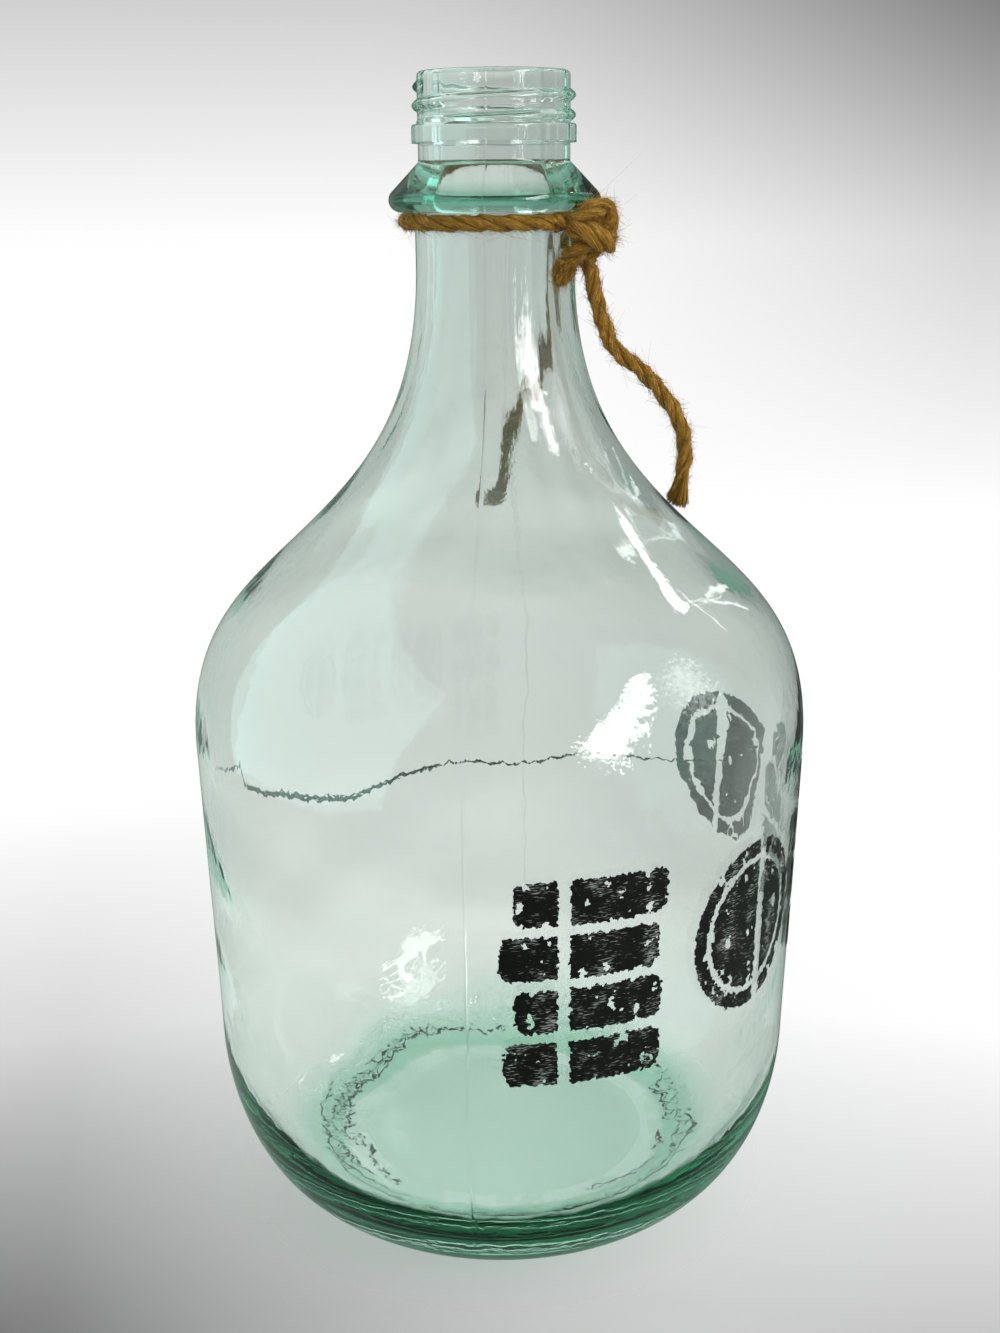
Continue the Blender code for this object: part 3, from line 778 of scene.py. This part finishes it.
# The folds round the floor: azimuths in degrees, the runs in millimetres along the inside from the
# middle of the floor, the half width in millimetres, and how far each wanders in millimetres.
BASE_LINES = (
    ((-182, -174, -167, -160, -149, -138, -119, -112, -102, -86, -77, -70),
     (60.6, 60.8, 60.7, 61.6, 59.6, 56.7, 54.0, 53.2, 52.3, 50.6, 51.3, 52.0), 0.26, 0.9),
    ((-158, -149, -138, -119, -112, -102, -86, -77, -66),
     (62.6, 61.0, 58.4, 56.0, 54.6, 54.6, 52.4, 53.4, 52.0), 0.16, 1.3),
    ((-144, -130, -118, -106, -94, -82), (60.0, 58.6, 56.6, 55.8, 54.2, 53.8), 0.12, 1.6),
    ((-113, -103, -88, -76, -55, -42, -29), (62.7, 60.9, 61.3, 59.8, 59.4, 58.0, 58.4), 0.15, 0.3),
    ((-66, -58, -47), (57.0, 55.1, 54.5), 0.2, 0.7),
    ((-74, -64, -50, -42, -36), (49.7, 48.8, 51.4, 52.2, 53.0), 0.2, 1.2),
    ((86, 80, 75, 71, 67, 62), (60.6, 63.4, 63.7, 62.8, 61.8, 60.2), 0.17, 0.5),
    ((78, 74, 70, 66, 62), (51.2, 53.4, 54.7, 53.6, 52.8), 0.22, 1.2),
    ((59, 52, 42, 36, 28), (56.5, 55.1, 54.1, 54.1, 53.4), 0.14, 0.4),
    ((112, 104, 96, 90, 84), (55.0, 54.2, 53.8, 54.6, 54.0), 0.25, 1.2),
)


def inside_place(azimuth, run):
    """Points on the jug's inside, pushed a little into its hollow, at azimuths and at runs along the
    inside from the middle of the floor."""
    outline = inner_outline()[::-1]
    lengths = run_along(outline)
    way = unit(np.gradient(outline, axis=0))
    radius, height, side, rise = (np.interp(run, lengths, values) for values in (*outline.T, *way.T))
    return round_z(radius - 1.5 * FILM_GAP * rise, azimuth, height + 1.5 * FILM_GAP * side)


def fold_line(azimuths, runs, half_width, amount, seed):
    """A ribbon along the inside through places given by azimuth and run: it wanders sideways by noise,
    its width varies and it thins out to both ends. Gives points (place along, side, axis)."""
    share = np.linspace(0, 1, int(abs(azimuths[-1] - azimuths[0]) * 5) + 8)
    knots = np.linspace(0, 1, len(azimuths))
    turn = np.radians(np.interp(share, knots, azimuths))
    run = np.interp(share, knots, runs)
    place = np.stack([turn * run, np.zeros(len(turn))], axis=-1)
    run = run + amount * (0.7 * wander(place, 12, 0.012, seed) + 0.3 * wander(place, 12, 0.003, seed + 1))
    swell = np.clip(1 + 0.6 * wander(place, 12, 0.005, seed + 2), 0.15, 2.2) * np.sin(math.pi * share) ** 0.3
    width = half_width * swell
    return np.stack([inside_place(turn, run - width), inside_place(turn, run + width)], axis=1)


def fold_mesh():
    """All chill marks as ribbons of painted shade just inside the glass. The lap line's heights become runs first."""
    outline = inner_outline()[::-1]
    lengths = run_along(outline)
    wall = (outline[:, 0] > FLOOR_RADIUS) & (outline[:, 1] < 0.2)
    lap_runs = np.interp(np.array(LAP_HEIGHTS) / 1000, outline[wall, 1], lengths[wall])
    ribbons = [fold_line(LAP_AZIMUTHS[first:last], lap_runs[first:last], half_width, amount, seed)
               for first, last, half_width, amount, seed in LAP_STRANDS]
    for number, (azimuths, runs, half_width, amount) in enumerate(BASE_LINES):
        for strand in range(2):
            ribbons.append(fold_line(azimuths, np.array(runs) / 1000, 1.5 * half_width / 1000,
                                     (amount + 0.5 * strand) / 1000, 80 + 5 * number + 300 * strand))
    points, faces, used = [], [], 0
    for ribbon in ribbons:
        index = used + np.arange(len(ribbon) * 2).reshape(-1, 2)
        faces += np.stack([index[:-1, 0], index[:-1, 1], index[1:, 1], index[1:, 0]], axis=-1).tolist()
        points.append(ribbon.reshape(-1, 3))
        used += len(ribbon) * 2
    mesh = bpy.data.meshes.new("chill_marks")
    mesh.from_pydata(np.concatenate(points).tolist(), [], faces)
    mesh.shade_smooth()
    return mesh


def smooth_route(points, step, closed=False):
    """Points about a step apart on a smooth curve: between two points, a cubic curve whose handles
    run parallel to the line between each point's neighbours."""
    points = np.array(points)
    if closed:
        padded = np.concatenate([points[-1:], points, points[:2]])
    else:
        padded = np.concatenate([[2 * points[0] - points[1]], points, [2 * points[-1] - points[-2]]])
    route = []
    for before, start, end, after in zip(padded, padded[1:], padded[2:], padded[3:]):
        span = np.linalg.norm(end - start)
        first = start + (end - before) / np.linalg.norm(end - before) * span / 3
        second = end - (after - start) / np.linalg.norm(after - start) * span / 3
        t = np.linspace(0, 1, math.ceil(span / step), endpoint=False)[:, None]
        route.append(cubic(start, first, second, end, t))
    return np.concatenate(route if closed else route + [points[-1:]])


def route_frames(route, closed=False):
    """Along a route: its direction, and two directions square to it that don't spin about it."""
    if closed:
        way = np.roll(route, -1, axis=0) - np.roll(route, 1, axis=0)
    else:
        way = np.gradient(route, axis=0)
    way = unit(way)
    side = np.cross(way[0], (0.3, 0.2, 1.0))
    sides = []
    for direction in way:
        side = side - direction * side.dot(direction)
        side = side / np.linalg.norm(side)
        sides.append(side)
    sides = np.array(sides)
    return way, sides, np.cross(way, sides)


def ply_section(turn):
    """The edge of three round plies that lie together, as a share of the twine's radius: the far side
    of a ply, seen from the middle, repeats every third of a turn."""
    third = math.tau / 3
    off = (turn + third / 2) % third - third / 2
    away = 1 - PLY_RADIUS_SHARE
    return away * np.cos(off) + np.sqrt(PLY_RADIUS_SHARE ** 2 - (away * np.sin(off)) ** 2)


def twine_rings(route, radius, closed=False, swell=None, phase=0.0):
    """A twisted twine: the section of three plies is carried along the route and turned once a lay.
    Gives the rings and, for the material, each point's place along and across the twine."""
    _, side, other = route_frames(route, closed)
    run = run_along(route)
    around = np.linspace(0, math.tau, TWINE_COLUMNS, endpoint=False)
    turn = around[None, :] - run[:, None] / TWINE_LAY * math.tau + phase
    # Its thickness swells and shrinks by a few per cent, 9 and 4 mm apart
    uneven = 1 + 0.05 * np.sin(run * math.tau / 0.0093 + phase) + 0.04 * np.sin(run * math.tau / 0.0041 + 2 * phase)
    section = ply_section(turn)
    reach = radius * section * uneven[:, None]
    along = np.broadcast_to(run[:, None], reach.shape)
    # Bundles of fibres stand up and sink in, 1 to 3 mm apart
    spot = np.stack([along * 0.6, reach * np.cos(turn), reach * np.sin(turn)], axis=-1)
    reach = reach * (1 + 0.035 * wander(spot, 40, 0.0030, int(phase * 10)))
    if swell is not None:
        reach = reach * swell[:, None]
    outwards = np.cos(around)[None, :, None] * side[:, None] + np.sin(around)[None, :, None] * other[:, None]
    place = np.stack([along, reach * np.cos(turn), reach * np.sin(turn), section], axis=-1)
    return route[:, None] + reach[..., None] * outwards, place


def thread_tubes(path, hint, thickness):
    """Three-sided tubes along paths, an array (thread, ring, axis). The hint is any direction across
    them. Gives points (thread, ring, side, axis)."""
    tangent = unit(np.gradient(path, axis=1))
    side = unit(np.cross(tangent, hint))
    other = np.cross(tangent, side)
    turn = np.arange(3) / 3 * math.tau
    around = np.cos(turn)[:, None] * side[:, :, None] + np.sin(turn)[:, None] * other[:, :, None]
    return path[:, :, None] + thickness * around


def fibres(rings, count, length, lift, thickness=0.00004, steps=6):
    """Loose fibres that start on the rings' surface and bow away from it: each follows a parabola from
    its root and thins towards its tip. Gives points like thread_tubes()."""
    ring = rng.integers(2, len(rings) - 2, count)
    column = rng.integers(0, rings.shape[1], count)
    root = rings[ring, column]
    middle = rings.mean(axis=1)
    outwards = unit(root - middle[ring])
    along = unit(middle[ring + 1] - middle[ring - 1])
    along *= rng.choice([-1.0, 1.0], count)[:, None]
    astray = rng.normal(size=(count, 3)) * 0.5
    size = length * rng.uniform(0.35, 1.0, count)[:, None] ** 1.5
    t = np.linspace(0, 1, steps)[None, :, None]
    way = along[:, None] + astray[:, None] * 0.6
    path = root[:, None] + size[:, None] * (t * way + lift * (t - 0.45 * t ** 2) * outwards[:, None])
    path += size[:, None] * t ** 2 * astray[:, None] * 0.35
    return thread_tubes(path, outwards[:, None] + 0.01, thickness * (1 - 0.7 * t)[..., None])


def brush(route, count, length, spread, closing=0.0):
    """The cut end of a twine whose plies have come apart: straight fibres that follow the route's last
    stretch and stand off it further and further, up to the spread, and close up by a share of it at
    their tips. The brush is flatter than it is wide. Gives points like thread_tubes()."""
    _, side, other = route_frames(route)
    run = run_along(route)
    t = np.linspace(0, 1, 7)
    start = run[-1] - length * rng.uniform(0.6, 1.0, count)
    end = run[-1] - BRUSH_UNEVEN_LENGTH * rng.uniform(-0.2, 1.0, count)
    at = start[:, None] + (end - start)[:, None] * t
    middle, side, other = [np.stack([np.interp(at, run, values[:, axis]) for axis in range(3)], axis=-1)
                           for values in (route, side, other)]
    turn = rng.uniform(0, math.tau, count)[:, None] + 0.5 * t
    start_off = TWINE_DIAMETER * 0.42
    off = (start_off + (spread - start_off) * t ** 1.5) * (1 - closing * np.clip(t * 4 - 3, 0, 1))
    off = np.sqrt(rng.uniform(0, 1, count))[:, None] * off
    path = middle + (off * np.cos(turn))[..., None] * side + BRUSH_FLATNESS * (off * np.sin(turn))[..., None] * other
    path = path + rng.normal(size=(count, 1, 3)) * 0.0003 * t[None, :, None]
    return thread_tubes(path, other, BRUSH_FIBRE_RADIUS)


def twine_mesh(name, ropes, fuzz=()):
    """One mesh of twines and loose fibres. The ropes are (rings, place, closed) and the fibres are
    arrays (fibre, ring, side, axis)."""
    points, places, faces, used = [], [], [], 0
    for rings, place, closed in ropes:
        rope_points, rope_faces = tube(rings, closed, used)
        points.append(rope_points)
        faces += rope_faces
        places.append(place.reshape(-1, 4))
        if not closed:
            places += [place[0].mean(axis=0)[None], place[-1].mean(axis=0)[None]]
        used += len(rope_points)
    for threads in fuzz:
        count, ring_count, sides = threads.shape[:3]
        index = used + np.arange(count * ring_count * sides).reshape(count, ring_count, sides)
        after = np.roll(index, -1, axis=2)
        quads = np.stack([index[:, :-1], after[:, :-1], after[:, 1:], index[:, 1:]], axis=-1).reshape(-1, 4)
        faces += quads.tolist() + index[:, 0, ::-1].tolist() + index[:, -1].tolist()
        points.append(threads.reshape(-1, 3))
        root = np.broadcast_to(threads[:, :1, :1], threads.shape).reshape(-1, 3)
        places.append(np.concatenate([root, np.ones((len(root), 1))], axis=1))
        used += count * ring_count * sides
    mesh = mesh_from(name, np.concatenate(points), faces)
    places = np.concatenate(places)
    store(mesh, "fibre_place", places[:, :3])
    store(mesh, "ply_height", places[:, 3])
    return mesh


def loop_point(azimuth):
    """A point on the middle line of the turn round the neck, counted from the loop's height."""
    return np.array((LOOP_RADIUS * math.sin(azimuth), -LOOP_RADIUS * math.cos(azimuth), 0.0))


def knot_point(shares):
    """Turns a strand's point, in twine diameters, into a place beside the neck."""
    outwards = np.array((math.sin(KNOT_AZIMUTH), -math.cos(KNOT_AZIMUTH), 0.0))
    sideways = np.array((math.cos(KNOT_AZIMUTH), math.sin(KNOT_AZIMUTH), 0.0))
    upwards = np.array((0.0, 0.0, 1.0))
    middle = outwards * (LOOP_RADIUS + KNOT_MIDDLE_SHARES[0] * TWINE_DIAMETER)
    middle = middle + upwards * KNOT_MIDDLE_SHARES[1] * TWINE_DIAMETER
    aside, out, up = (share * TWINE_DIAMETER for share in shares)
    return middle + sideways * aside + outwards * out + upwards * up


def at_loop_height(route):
    """Moves a route from the loop's height to its real height."""
    return np.array(route) + (0.0, 0.0, LOOP_HEIGHT)


def strand_route(shares, free_end):
    """The middle line of a strand of the knot, from the loop's end on its side to a free end."""
    side = math.copysign(1.0, shares[0][0])
    half_angle = KNOT_HALF_SHARE * TWINE_DIAMETER / LOOP_RADIUS
    entry = [loop_point(KNOT_AZIMUTH + side * half_angle)]
    points = entry + [knot_point(share) for share in shares] + [np.array(free_end[0])]
    return at_loop_height(smooth_route(points, TWINE_RING_STEP))


def build_loop(jute):
    """The turn round the neck, from one side of the knot to the other."""
    half_angle = KNOT_HALF_SHARE * TWINE_DIAMETER / LOOP_RADIUS
    turns = np.linspace(KNOT_AZIMUTH + half_angle, KNOT_AZIMUTH + math.tau - half_angle, 440)
    rings, place = twine_rings(at_loop_height([loop_point(turn) for turn in turns]), TWINE_DIAMETER / 2)
    fuzz = [
        fibres(rings, 5000, 0.0028, 0.22, 0.00006, 4),
        fibres(rings, 500, 0.0045, 0.5),
        fibres(rings, 50, 0.016, 0.6),
    ]
    mesh = twine_mesh("twine_round_neck", [(rings, place, False)], fuzz)
    add_piece("twine_round_neck", mesh, jute, "twine", "jute", "twine_neck_loop")


def build_knot(jute):
    """The knot: two strands that cross, one that wraps round them, one that leads to the rear free end
    and a core that fills its middle. Each has its thickness as a share of the twine's."""
    ropes, fuzz = [], []
    wrap, core, back = [at_loop_height(smooth_route(points, TWINE_RING_STEP, closed)) for points, closed in (
        ([knot_point(share) for share in WRAP_SHARES], True),
        ([knot_point(share) for share in KNOT_CORE_SHARES], False),
        ([knot_point(share) for share in BACK_STRAND_SHARES] + [np.array(BACK_END_ROUTE[0])], False),
    )]
    for route, share, closed, phase in (
            (strand_route(OVER_STRAND_SHARES, TAIL_ROUTE), 1.2, False, 0.4),
            (strand_route(UNDER_STRAND_SHARES, BIGHT_ROUTE), 1.2, False, 1.9),
            (wrap, 1.4, True, 3.1),
            (back, 1.0, False, 2.7),
            (core, 1.5, False, 1.3)):
        rings, place = twine_rings(route, TWINE_DIAMETER / 2 * share, closed, phase=phase)
        ropes.append((rings, place, closed))
        fuzz += [
            fibres(rings, 1250, 0.0034, 0.26, 0.00006, 4),
            fibres(rings, 120, 0.0045, 0.6),
            fibres(rings, 14, 0.009, 0.7),
        ]
    mesh = twine_mesh("twine_knot_strands", ropes, fuzz)
    add_piece("twine_knot_strands", mesh, jute, "twine", "jute", "twine_knot")


def build_bight(jute):
    """The low bight of the knot: a strand that runs down, turns back in a tight bend and runs up again."""
    start, end = np.array(BIGHT_ROUTE[0]), np.array(BIGHT_ROUTE[-1])
    aside = np.array((math.cos(KNOT_AZIMUTH), math.sin(KNOT_AZIMUTH), 0.0)) * BIGHT_HALF_WIDTH
    points = [start + (end - start) * down + aside * across for down, across in BIGHT_SHARES]
    route = at_loop_height(smooth_route(points, TWINE_RING_STEP))
    rings, place = twine_rings(route, BIGHT_STRAND_RADIUS, phase=0.7)
    fuzz = [fibres(rings, 1500, 0.0028, 0.26, 0.00006, 4), fibres(rings, 100, 0.004, 0.5)]
    mesh = twine_mesh("twine_folded_bight", [(rings, place, False)], fuzz)
    add_piece("twine_folded_bight", mesh, jute, "twine", "jute", "twine_bight")


def build_free_end(jute, name, node, points, brush_length, spread, closing):
    """A free end of the twine, which thins towards its cut, where it comes apart in a brush of straight
    fibres."""
    route = at_loop_height(smooth_route(points, TWINE_RING_STEP))
    run = run_along(route)
    swell = 1 - 0.2 * np.clip(1 - (run[-1] - run) / brush_length, 0, 1)
    rings, place = twine_rings(route, TWINE_DIAMETER / 2, swell=swell, phase=2.2)
    end = add_piece(name, twine_mesh(name, [(rings, place, False)]), jute, "twine", "jute", node)
    fuzz = [
        fibres(rings, int(run[-1] * 38000), 0.0028, 0.22, 0.00006, 4),
        fibres(rings, int(run[-1] * 1500), 0.006, 0.5),
        brush(route, 900, brush_length, spread, closing),
    ]
    add_piece(name + "_fuzz", twine_mesh(name + "_fuzz", [], fuzz), jute, "twine", "jute")


# Stage: a pale floor that fades out round the jug, and a backdrop that is white behind the jug and
# greys towards the upper right and the lower left
def build_floor():
    """A round sheet of paper that fades out, and so shows the jug's soft shadow."""
    turn = np.linspace(0, math.tau, 96, endpoint=False)
    radii = np.array([0.02, 0.1, 0.2, 0.3, 0.45, 0.6])[:, None]
    rings = np.stack([radii * np.cos(turn), radii * np.sin(turn), np.zeros((len(radii), len(turn)))], axis=-1)
    mesh = bpy.data.meshes.new("floor")
    index = np.arange(radii.size * turn.size).reshape(radii.size, turn.size)
    after = np.roll(index, -1, axis=1)
    quads = np.stack([index[:-1], index[1:], after[1:], after[:-1]], axis=-1).reshape(-1, 4)
    mesh.from_pydata(rings.reshape(-1, 3).tolist(), [], quads.tolist() + [index[0].tolist()])
    material, tree = new_material("paper_floor")
    away = vector(tree, "LENGTH", add(tree, "TexCoord").outputs["Object"])
    fade = remap(tree, away, 0.05, 0.22, 0.30, 0.0)
    paper = add(tree, "BsdfDiffuse", {"Color": colour("#F4F4F4")})
    clear = add(tree, "BsdfTransparent")
    surface = add(tree, "MixShader", {"Fac": fade, 1: clear.outputs[0], 2: paper.outputs[0]})
    finish_material(tree, surface.outputs[0])
    mesh.materials.append(material)
    floor = add_object("floor", mesh)
    floor.visible_glossy = False


def ramp_between(tree, value, low, high, power=1.0):
    """0 below low, 1 above high and a curve of the given power between."""
    share = remap(tree, value, low, high, smooth=False)
    return maths(tree, "POWER", share, power)


def heading(azimuth, elevation):
    """The unit direction at an azimuth and an elevation in degrees."""
    a, e = math.radians(azimuth), math.radians(elevation)
    return Vector((math.sin(a) * math.cos(e), -math.cos(a) * math.cos(e), math.sin(e)))


def window_mask(tree, way, azimuth, elevation, lean, half_size, soft, ragged=0.0, grain=1.0, taper=0.0):
    """1 inside a window round a direction and 0 outside: the direction is projected on the plane square
    to the window's middle, shifted by noise for ragged edges, and held against both half sizes. The
    noise shifts one edge of each pair more than the other, as foliage in front of a window does. A
    tapered window is narrower by that share at the far end of its first axis."""
    middle = heading(azimuth, elevation)
    level = middle.cross(Vector((0.0, 0.0, 1.0))).normalized()
    upright = level.cross(middle)
    turn = math.radians(lean)
    axes = (level * math.cos(turn) + upright * math.sin(turn), upright * math.cos(turn) - level * math.sin(turn))
    depth = vector(tree, "DOT_PRODUCT", way, middle)
    shifts = add(tree, "SeparateXYZ", {0: noise(tree, way, grain, 4.0, 0.75, "Color")}) if ragged else None
    mask = maths(tree, "GREATER_THAN", depth, 0.1)
    narrower = None
    for axis, half, shift, rough_side in zip(axes, half_size, ("X", "Y"), (1, -1)):
        along = vector(tree, "DOT_PRODUCT", way, axis)
        place = moved = maths(tree, "DIVIDE", along, depth)
        if shifts:
            rough = remap(tree, place, -rough_side * half, rough_side * half, 0.4 * ragged, ragged, smooth=False)
            offset = maths(tree, "ADD", shifts.outputs[shift], -0.5)
            moved = maths(tree, "MULTIPLY_ADD", offset, rough, place)
        away = maths(tree, "ABSOLUTE", moved)
        if narrower:
            away = maths(tree, "DIVIDE", away, narrower)
        elif taper:
            narrower = remap(tree, place, half, -half, 1.0, 1.0 - taper, smooth=False)
        mask = times(tree, mask, remap(tree, away, half + soft, half - soft))
    return mask


# What the glass mirrors of the room: a bright window low on the right that foliage stands in front of,
# the foliage beside it, a pane of sky, three thin bright bars behind the jug, and pale walls on both
# sides. Each has its shape, then where it is and how bright it is.
# Azimuth, elevation and lean in degrees, half sizes and softness as tangents, light as hex and strength.
WINDOWS = (
    ({"half_size": (0.42, 0.175), "soft": 0.01, "ragged": 0.95, "grain": 13.0, "taper": 0.68},
     (51, 26, -46), "#FFFFFF", 10.0),
    ({"half_size": (0.12, 0.18), "soft": 0.02, "ragged": 1.3, "grain": 24.0}, (86, 27, 0), "#FFFFFF", 2.5),
    ({"half_size": (0.045, 0.042), "soft": 0.003, "ragged": 0.08, "grain": 50.0}, (119, 39.5, 0), "#FFFFFF", 9.0),
    ({"half_size": (0.15, 0.006), "soft": 0.003}, (136.5, 21.5, 45.8), "#FFFFFF", 4.0),
    ({"half_size": (0.005, 0.105), "soft": 0.003}, (122.7, 30, 0), "#FFFFFF", 4.0),
    ({"half_size": (0.27, 0.005), "soft": 0.003}, (132, 24, 52.7), "#FFFFFF", 3.0),
    ({"half_size": (0.86, 0.84), "soft": 0.03, "ragged": 0.25, "grain": 3.0}, (-77, 20, 0), "#CEFFFF", 1.2),
    ({"half_size": (0.55, 0.6), "soft": 0.25}, (96, 8, 0), "#FFFFFF", 0.15),
)
# How much darker the backdrop is above and below: limits and power over the rise of a direction, the
# same over its sideways part, and the depth of the grey
BACKDROP_SHADES = (
    ((-0.04, 0.105, 1.1), None, 0.21),
    ((-0.19, 0.09), (-0.087, 0.273, 1.7), 0.31),
    ((-0.47, -0.61), None, 0.25),
    ((-0.355, -0.593), (0.136, -0.246, 1.54), 0.33),
)
# Through the glass the backdrop is brightest below and dullest above and on the right: limits over the
# rise or the sideways part of a direction, and the brightness at both
THROUGH_SHADES = (
    ("Z", -0.50, -0.34, 1.20, 0.95),
    ("Z", -0.25, -0.08, 1.0, 0.80),
    ("Z", -0.08, 0.12, 1.0, 0.86),
    ("Z", 0.10, 0.22, 1.0, 0.90),
    ("X", 0.0, 0.14, 1.0, 0.87),
    ("X", 0.12, 0.35, 1.0, 0.86),
)
MIRRORED_ROOM = (0.34, 0.45, 0.40, 1.0)
WHITE = (1.0, 1.0, 1.0, 1.0)


def build_world():
    """What the camera sees behind the jug, what the glass mirrors, what it lets through, and an even
    light for everything else."""
    world = bpy.data.worlds.new("studio")
    bpy.context.scene.world = world
    world.use_nodes = True
    tree = world.node_tree
    tree.nodes.clear()
    everywhere = add(tree, "TexCoord").outputs["Generated"]
    way = add(tree, "SeparateXYZ", {0: everywhere}).outputs
    total = 1.0
    for up, across, depth in BACKDROP_SHADES:
        dark = ramp_between(tree, way["Z"], *up)
        if across:
            dark = times(tree, dark, ramp_between(tree, way["X"], *across))
        total = maths(tree, "SUBTRACT", total, times(tree, dark, depth))
    grey = maths(tree, "POWER", total, 2.2)
    seen = add(tree, "Background", {"Color": grey, "Strength": 1.0})
    light = add(tree, "Background", {"Color": WHITE, "Strength": 0.55})
    # Towards the photographer the room is duller than the backdrop, the heel mirrors its own shade on
    # the floor, and behind the jug, most of all on the right, it is dull too, which darkens the edges
    towards_back = vector(tree, "DOT_PRODUCT", everywhere, heading(165, 0))
    depth = times(
        tree,
        remap(tree, way["Y"], -0.3, 0.4, 0.35, 1.0, smooth=False),
        remap(tree, way["Z"], -0.35, -0.75, 1.0, 0.6, smooth=False),
        remap(tree, towards_back, 0.70, 0.93, 1.0, 0.25))
    mirrored = add(tree, "Background", {"Color": MIRRORED_ROOM, "Strength": depth})
    through = times(tree, *(remap(tree, way[axis], *limits) for axis, *limits in THROUGH_SHADES))
    through = add(tree, "Background", {"Color": WHITE, "Strength": through})
    path = add(tree, "LightPath").outputs
    mixed = light
    for flag, view in (("Is Camera Ray", seen), ("Is Glossy Ray", mirrored), ("Is Transmission Ray", through)):
        mixed = add(tree, "MixShader", {"Fac": path[flag], 1: mixed.outputs[0], 2: view.outputs[0]})
    # The windows show only in what has been mirrored at least once
    once = maths(tree, "GREATER_THAN", path["Glossy Depth"], 0.5)
    for shape, at, text, strength in WINDOWS:
        power = times(tree, window_mask(tree, everywhere, *at, **shape), strength, once)
        bright = add(tree, "Background", {"Color": colour(text), "Strength": power})
        mixed = add(tree, "AddShader", {0: mixed.outputs[0], 1: bright.outputs[0]})
    add(tree, "OutputWorld", {"Surface": mixed.outputs[0]})


def add_lamp(name, azimuth, elevation, distance, size, radiance):
    """A rectangular lamp round the jug, aimed at its middle, of a given radiance."""
    middle = Vector((0.0, 0.0, 0.17))
    place = middle + distance * heading(azimuth, elevation)
    aim = (middle - place).to_track_quat("-Z", "Y").to_matrix().to_4x4()
    lamp = bpy.data.lights.new(name, "AREA")
    lamp.shape = "RECTANGLE"
    lamp.size, lamp.size_y = size
    lamp.energy = radiance * math.pi * size[0] * size[1]
    holder = add_object(name, lamp)
    holder.matrix_world = Matrix.Translation(place) @ aim
    # The glass mirrors the world's windows instead, whose edges are ragged
    holder.visible_glossy = False
    holder.visible_transmission = False


def build_lights():
    add_lamp("window", 60, 20, 1.3, (0.75, 0.95), 5.0)
    add_lamp("soft_left", -60, 22, 1.2, (0.7, 1.0), 1.2)
    add_lamp("soft_top", 0, 75, 1.2, (0.8, 0.8), 1.5)


def light_paths():
    """Light that runs along inside the thick heel is mirrored many times before it comes out."""
    paths = bpy.context.scene.cycles
    paths.max_bounces = 28
    paths.glossy_bounces = 20
    paths.transmission_bounces = 24
    paths.transparent_max_bounces = 12


def build_camera():
    """The camera at the photograph's place and angle."""
    data = bpy.data.cameras.new("camera")
    data.sensor_fit = "AUTO"
    data.sensor_width = SENSOR
    data.lens = FOCAL_PIXELS * SENSOR / IMAGE_HEIGHT
    data.clip_start = 0.01
    camera = add_object("camera", data)
    camera.matrix_world = (Matrix.Translation(CAMERA_PLACE) @ Matrix.Rotation(math.pi / 2 - CAMERA_PITCH, 4, "X")
                           @ Matrix.Rotation(CAMERA_ROLL, 4, "Z"))
    bpy.context.scene.camera = camera


build_camera()
jute = jute_material()
build_free_end(jute, "twine_front_end", "twine_tail", TAIL_ROUTE, brush_length=0.013, spread=0.0042, closing=0.0)
build_free_end(jute, "twine_rear_end", "twine_back_end", BACK_END_ROUTE, brush_length=0.036, spread=0.0043,
               closing=0.55)
build_bight(jute)
build_loop(jute)
build_knot(jute)
add_piece("jug", jug_mesh(), glass_material(), "jug", "glass", "glass_jug")
add_piece("stencil_marks", mark_mesh(), paint_material(), "jug", "glass")
add_piece("chill_marks", fold_mesh(), chill_material(), "jug", "glass")
build_floor()
build_world()
build_lights()
light_paths()
bpy.context.scene.view_settings.view_transform = "Standard"
